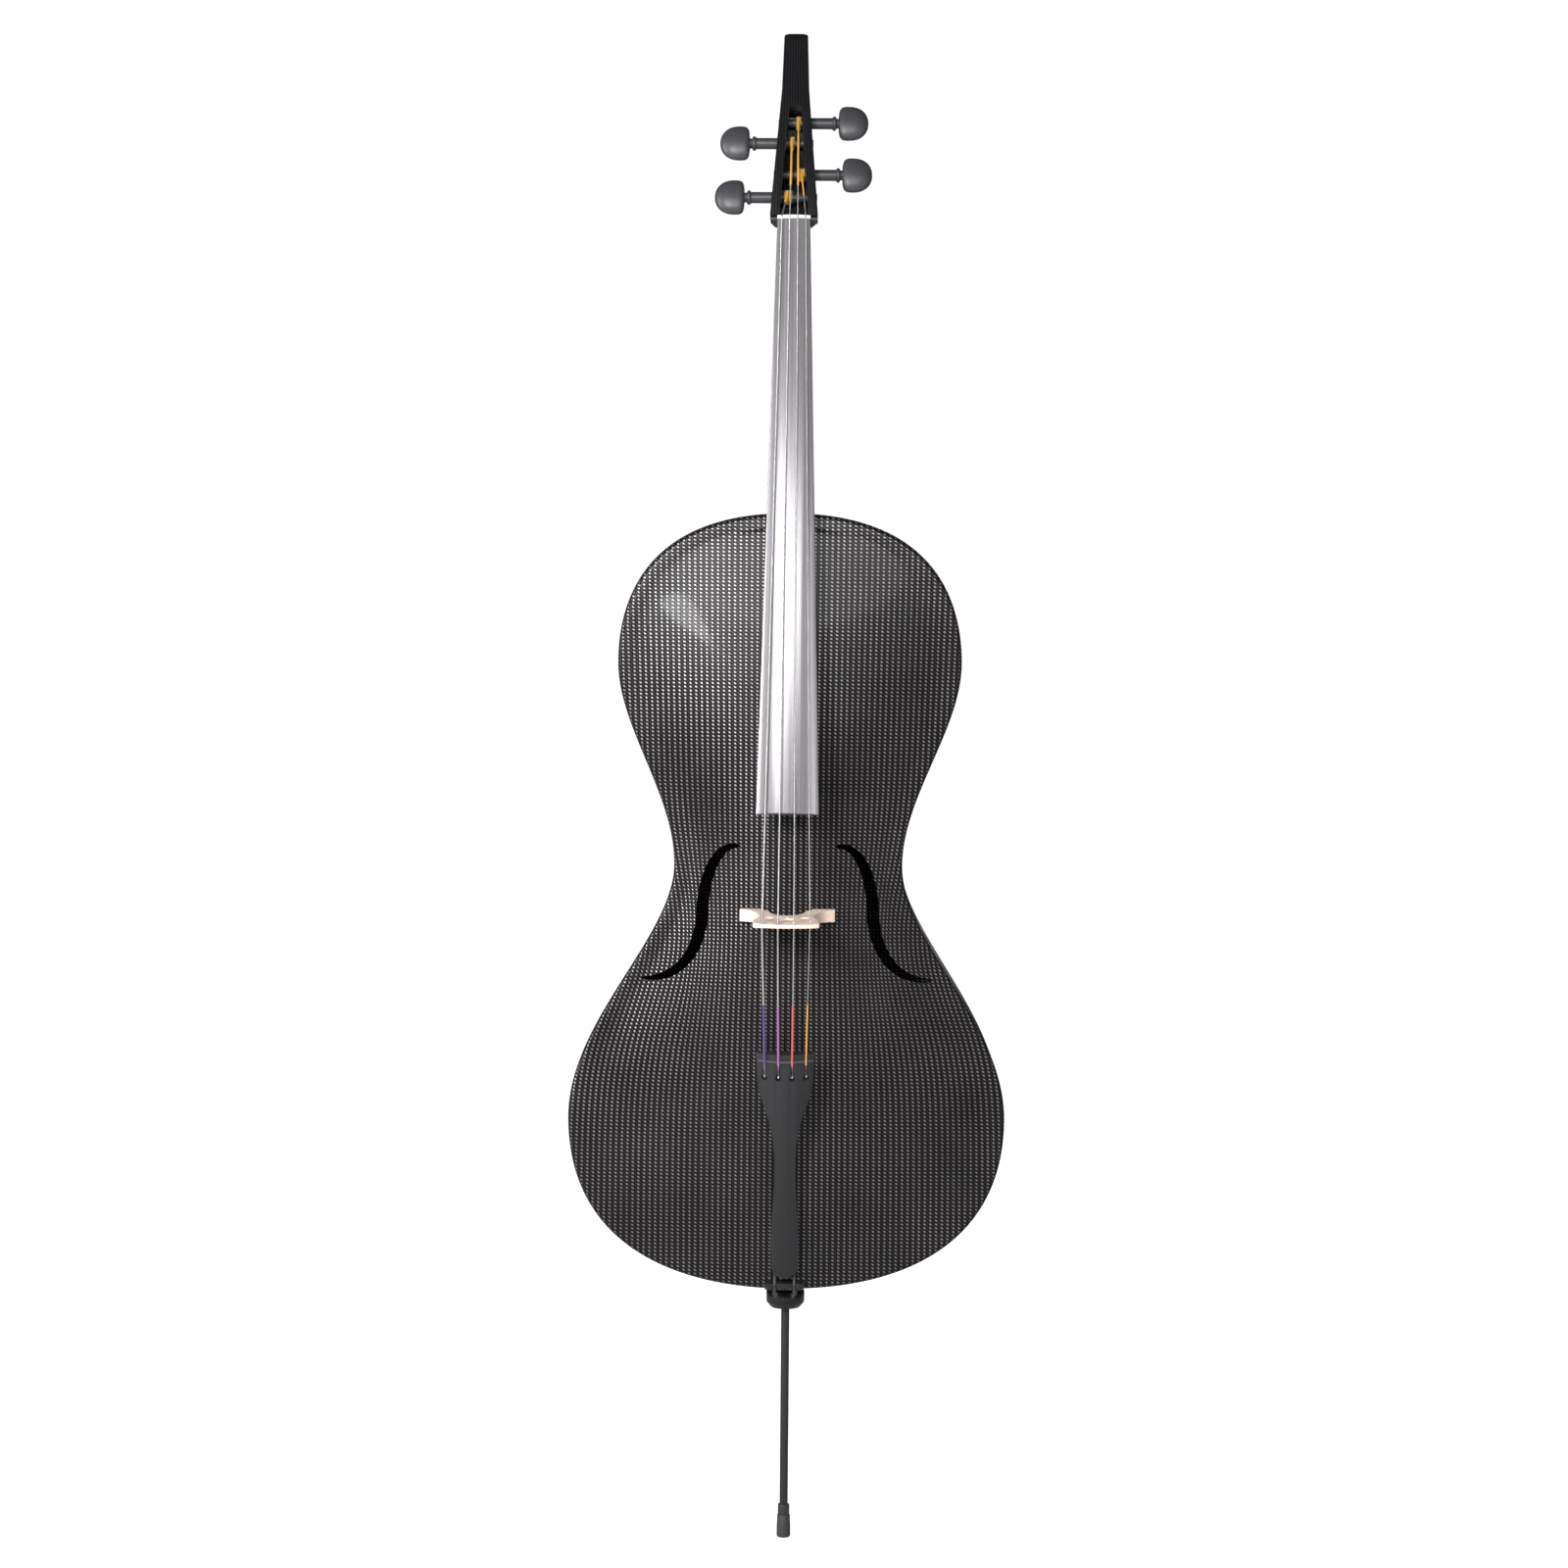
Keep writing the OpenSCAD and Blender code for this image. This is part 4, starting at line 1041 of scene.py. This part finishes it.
@dataclass
class Peg:
    """One peg with its thumb piece, and the silk-wrapped string wound on it."""

    letter: str
    height: float
    side: Side
    half_head: float
    wind_at: float
    wind_l: float
    thread: float
    shank_r: float = 5.5 * MM
    tip_r: float = 4.0 * MM
    reach: float = 23 * MM
    thumb_w: float = 36 * MM
    thumb_l: float = 29.5 * MM
    thumb_t: float = 17 * MM
    near_share: float = 0.36
    tip_out: float = 1 * MM
    tip_round: float = 0.4 * MM
    flare_l: float = 2.4 * MM
    stem_l: float = 4 * MM
    frame_of_head: HeadFrame = field(default_factory=HeadFrame)

    @property
    def body(self) -> str:
        """The CAD body that the peg turns with."""
        return f"{self.letter}_peg_turning"

    def profile(self, reach: float) -> list[tuple[float, float]]:
        """Outline of the turned shank, its collar and the stem under the thumb piece.

        Args:
            reach: distance from the head's middle to the collar.

        Returns:
            Points of (radius, height) from the tip to the stem's top.
        """
        tip = -self.half_head - self.tip_out
        neck = reach - self.flare_l
        points = [(0, tip), (self.tip_r - self.tip_round, tip), (self.tip_r, tip + self.tip_round),
                  (self.tip_r, 0), (self.shank_r, 0.001 * MM), (self.shank_r, neck),
                  (self.shank_r + 0.5 * MM, neck + 0.3 * MM)]
        bead_r, bead_out, bead_half = 5.9 * MM, 1.3 * MM, 1.5 * MM
        points += [(bead_r + bead_out * math.cos(a), reach + bead_half * math.sin(a))
                   for a in (math.radians(d) for d in range(-75, 76, 25))]
        stem_top = reach + 6.5 * MM
        return points + [(5.0 * MM, reach + 2.2 * MM), (4.7 * MM, reach + 3.2 * MM),
                         (5.4 * MM, reach + 4.6 * MM), (5.4 * MM, stem_top), (0, stem_top)]

    def thumb(self) -> bmesh.types.BMesh:
        """The thumb piece: flat towards the shank and round at its far end.

        Returns:
            Its bmesh, on the peg's axis with its near face at height 0.
        """
        mesh = bmesh.new()
        bmesh.ops.create_uvsphere(mesh, u_segments=48, v_segments=32, radius=1)
        near, far = self.near_share * self.thumb_l, (1 - self.near_share) * self.thumb_l
        near_power, far_power = 0.52, 0.92
        for vert in mesh.verts:
            axial, lateral = vert.co.z, math.hypot(vert.co.x, vert.co.y)
            power = near_power if axial < 0 else far_power
            deep = (near if axial < 0 else far) * math.copysign(abs(axial) ** power, axial)
            wide = min(1.0, lateral) ** power
            scale = wide / lateral if lateral > 1e-6 else 0.0
            vert.co = (vert.co.x * scale * self.thumb_w / 2, vert.co.y * scale * self.thumb_t / 2,
                       near + deep)
        return mesh

    def build(self) -> None:
        """Builds the peg and its winding."""
        reach = self.half_head + self.reach
        profile = self.profile(reach)
        mesh = turned(profile)
        thumb = self.thumb()
        bmesh.ops.translate(thumb, verts=thumb.verts, vec=(0, 0, reach + self.stem_l))
        spare = bpy.data.meshes.new("spare")
        thumb.to_mesh(spare)
        thumb.free()
        mesh.from_mesh(spare)
        bpy.data.meshes.remove(spare)
        place = self.frame_of_head.peg_matrix(self.height, self.side)
        bmesh.ops.transform(mesh, matrix=place, verts=mesh.verts)
        place_piece(mesh, f"{self.letter}_peg_turned", PEG_BLACK, self.body,
                    [f"{self.letter}_peg"])
        self.build_winding()

    def build_winding(self) -> None:
        """Builds the coil of silk-wrapped string round the shank."""
        same_side = self.side.value * self.wind_at > 0
        inner = self.shank_r if same_side else self.tip_r
        turns = max(3, int(self.wind_l / (2 * self.thread)))
        start = self.wind_at - self.wind_l / 2 + self.thread
        pitch = (self.wind_l - 2 * self.thread) / turns
        mid = inner + self.thread
        per_turn = 20
        points = []
        for k in range(turns * per_turn + 1):
            angle = math.tau * k / per_turn
            points.append(Vector((start + pitch * k / per_turn, mid * math.sin(angle),
                                  mid * math.cos(angle))))
        mesh = swept_tube(points, self.thread, 8)
        at = (0, self.frame_of_head.peg_depth, self.height)
        place = self.frame_of_head.matrix() @ Matrix.Translation(at)
        bmesh.ops.transform(mesh, matrix=place, verts=mesh.verts)
        place_piece(mesh, f"{self.letter}_silk_coil", PEG_SILK, self.body,
                    [f"{self.letter}_winding"])


@dataclass
class Strings:
    """The four strings' coloured silk sleeves. The strings themselves keep their CAD shape."""

    letters: str = "cgda"
    tail_gap: float = 13.2 * MM
    bridge_gap: float = 15 * MM
    radii: tuple[float, ...] = (0.9 * MM, 0.75 * MM, 0.6 * MM, 0.45 * MM)
    wrap: float = 0.3 * MM
    silk_l: tuple[float, ...] = (13 * MM, 52 * MM, 74 * MM, 30 * MM)

    def build(self) -> None:
        """Dresses the strings and adds a sleeve round each one above the tailpiece."""
        for index, letter in enumerate(self.letters):
            dress_node(f"{letter}_string", STEEL)
            self.sleeve(index, letter)
            self.peg_silk(index, letter)

    def peg_silk(self, index: int, letter: str) -> None:
        """Adds the silk round the last of a string, up to its peg.

        Args:
            index: the string's place from the bass side.
            letter: its name.
        """
        verts = [v.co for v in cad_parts[f"{letter}_string"].data.vertices]
        top = max(v.z for v in verts)
        end = [v for v in verts if v.z > top - 1.2 * self.radii[index]]
        tip = sum(end, Vector()) / len(end)
        nut_low, nut_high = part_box("nut")
        near = [v for v in verts if nut_low.z < v.z < nut_high.z + 2 * MM]
        bend = sum(near, Vector()) / len(near)
        ahead = (bend - tip).normalized()
        points = [tip + ahead * (self.silk_l[index] * k / 8) for k in range(9)]
        mesh = swept_tube(points, self.radii[index] + self.wrap, 12)
        place_piece(mesh, f"{letter}_peg_silk", PEG_SILK, ROOT)

    def sleeve(self, index: int, letter: str) -> None:
        """Adds one sleeve.

        Args:
            index: the string's place from the bass side.
            letter: its name.
        """
        start, end = tail_line(index, self)
        ahead = (end - start).normalized()
        points = [start + ahead * (d * MM) for d in (-3.6, -2, 2, 14, 28, 42, 56, 57.6)]
        mesh = swept_tube(points, self.radii[index] + self.wrap, 16)
        place_piece(mesh, f"{letter}_tail_silk", TAIL_SILKS[letter], ROOT)


def tail_line(index: int, strings: Strings) -> tuple[Vector, Vector]:
    """The straight run of a string from the tailpiece's fret to the bridge.

    Args:
        index: the string's place from the bass side.
        strings: the set's sizes.

    Returns:
        The points over the fret and on the bridge.
    """
    board_r = 62 * MM
    bridge_y, bridge_z = -172, 623.5
    cord_y, cord_z = -73, 264.5
    afterlength = 137 * MM
    fret_rise = 1.6 * MM
    contact = Vector((0, bridge_y, bridge_z)) * MM
    angle = math.atan2(cord_y - bridge_y, bridge_z - cord_z)
    turn = Matrix.Rotation(angle, 3, "X")
    tail = contact + turn @ Vector((0, 0, -afterlength))

    def sag(x: float) -> float:
        """Fall of the round top at a distance from its middle."""
        return board_r - math.sqrt(board_r * board_r - x * x)

    low_x, high_x = (index - 1.5) * strings.tail_gap, (index - 1.5) * strings.bridge_gap
    low = tail + turn @ Vector((low_x, -fret_rise + sag(low_x), 0))
    high = contact + Vector((high_x, sag(high_x), 0))
    return low, high


@dataclass
class Studio:
    """White sweep of light, pale floor and the camera."""

    distance: float = 3.3
    tilt: float = math.radians(2.1)
    turn: float = math.radians(0.95)
    aim: tuple[float, float, float] = (-0.0047, -0.06, 0.754)
    focal: float = 77.9
    roll: float = math.radians(0.486)

    def build_camera(self) -> None:
        """Adds the camera."""
        data = bpy.data.cameras.new("camera")
        data.lens = self.focal
        data.sensor_width = 36.0
        data.clip_end = 100.0
        camera = bpy.data.objects.new("camera", data)
        facing = (Matrix.Rotation(self.turn, 4, "Z") @ Matrix.Rotation(math.pi / 2 - self.tilt, 4, "X")
                  @ Matrix.Rotation(self.roll, 4, "Z"))
        away = facing @ Vector((0, 0, self.distance))
        camera.matrix_world = Matrix.Translation(Vector(self.aim) + away) @ facing
        bpy.context.scene.collection.objects.link(camera)
        bpy.context.scene.camera = camera

    def build_floor(self) -> None:
        """Adds the pale floor."""
        mesh = bmesh.new()
        bmesh.ops.create_circle(mesh, cap_ends=True, radius=12.0, segments=64)
        data = bpy.data.meshes.new("floor")
        mesh.to_mesh(data)
        mesh.free()
        material, graph, shader = blank_material("floor")
        shader.inputs["Base Color"].default_value = (0.5, 0.5, 0.5, 1)
        shader.inputs["Roughness"].default_value = 0.9
        shader.inputs["Emission Color"].default_value = (1, 1, 1, 1)
        eye = graph.add("LightPath").outputs["Is Camera Ray"]
        graph.feed(shader.inputs["Emission Strength"], graph.math("MULTIPLY_ADD", eye, 0.97, 0.03))
        data.materials.append(material)
        floor = bpy.data.objects.new("floor", data)
        bpy.context.scene.collection.objects.link(floor)

    def build_light(self, name: str, at: tuple[float, float, float], size: tuple[float, float],
                    power: float) -> None:
        """Adds one soft box that faces the instrument's middle.

        Args:
            name: the light's name.
            at: its place.
            size: its width and height.
            power: its power in watts.
        """
        data = bpy.data.lights.new(name, "AREA")
        data.shape = "RECTANGLE"
        data.size, data.size_y = size
        data.energy = power
        light = bpy.data.objects.new(name, data)
        light.location = at
        towards = Vector((0, 0, 0.8)) - Vector(at)
        light.rotation_euler = towards.to_track_quat("-Z", "Y").to_euler()
        bpy.context.scene.collection.objects.link(light)

    def build_world(self) -> None:
        """Makes the surroundings white to the eye and softer as a light."""
        world = bpy.data.worlds.new("studio")
        world.use_nodes = True
        graph = Graph(world.node_tree)
        ground = world.node_tree.nodes["Background"]
        eye = graph.add("LightPath").outputs["Is Camera Ray"]
        ground.inputs["Color"].default_value = (1, 1, 1, 1)
        graph.feed(ground.inputs["Strength"], graph.math("MULTIPLY_ADD", eye, 0.995, 0.035))
        bpy.context.scene.world = world

    def build(self) -> None:
        """Builds the studio."""
        self.build_camera()
        self.build_floor()
        self.build_world()
        self.build_light("left_box", (-0.9, -2.6, 1.55), (0.35, 0.7), 62)
        self.build_light("left_side_box", (-2.4, -1.2, 1.4), (0.5, 1.9), 62)
        self.build_light("right_box", (2.0, -2.0, 0.8), (0.6, 1.8), 11)
        self.build_light("front_box", (0, -3.1, 1.85), (2.2, 0.8), 50)
        self.build_light("back_box", (0.8, 2.6, 1.7), (1.4, 1.4), 28)
        bpy.context.scene.view_settings.view_transform = "Standard"


def build_pegs() -> None:
    """Builds the four pegs from their heights along the head."""
    settings = (("c", 26.3, Side.BASS, 21.4, -6.5, 9.0, 0.9), ("g", 84.4, Side.BASS, 17.1, -3.2, 5.5, 0.75),
                ("d", 106.3, Side.TREBLE, 15.5, 3.0, 5.5, 0.7), ("a", 50.6, Side.TREBLE, 19.6, 6.5, 7.0, 0.6))
    for letter, height, side, half, wind_at, wind_l, thread in settings:
        Peg(letter, height * MM, side, half * MM, wind_at * MM, wind_l * MM, thread * MM).build()


CARVED = (
    CarvedPart("neck", "neck_shaft", HEAD_CLOTH, "carbon_neck", 0.0),
    CarvedPart("pegbox", "head_shell", HEAD_CLOTH, "carbon_neck", 1.2 * MM),
    CarvedPart("fingerboard", "playing_board", BOARD, "board", 0.6 * MM),
    CarvedPart("nut", "top_nut", NUT_WHITE, "nut_white", 0.0),
    CarvedPart("bridge", "carved_bridge", MAPLE, "maple", 0.3 * MM),
    CarvedPart("saddle", "end_saddle", BLACK_TRIM, "black_trim", 0.4 * MM),
    CarvedPart("tailpiece", "tail_body", TAIL_BLACK, "tail_black", 0.5 * MM),
    CarvedPart("endpin_bushing", "endpin_holder", BLACK_TRIM, "black_trim", 0.3 * MM),
    CarvedPart("endpin_collar", "twist_ring", BLACK_TRIM, "black_trim", 0.4 * MM, "lock_ring"),
    CarvedPart("endpin_rod", "sliding_rod", ROD_CLOTH, "rod_carbon", 0.3 * MM, "endpin"),
    CarvedPart("endpin_ferrule", "rod_ferrule", FERRULE, "ferrule_dark", 0.2 * MM, "endpin"),
    CarvedPart("rubber_foot", "foot_sleeve", RUBBER, "rubber", 0.3 * MM, "foot"),
)


def main() -> None:
    """Builds the studio and every sub-assembly, and reports each piece."""
    logging.basicConfig(level=logging.INFO, format="%(name)s: %(message)s")
    Studio().build()
    SoundBox().build()
    for part in CARVED:
        part.build()
    build_pegs()
    Strings().build()
    dress_node("tail_fret", FRET_GREY)
    dress_node("tail_cord", CORD)
    dress_node("endpin_collet", BRASS)


if __name__ == "__main__":
    main()
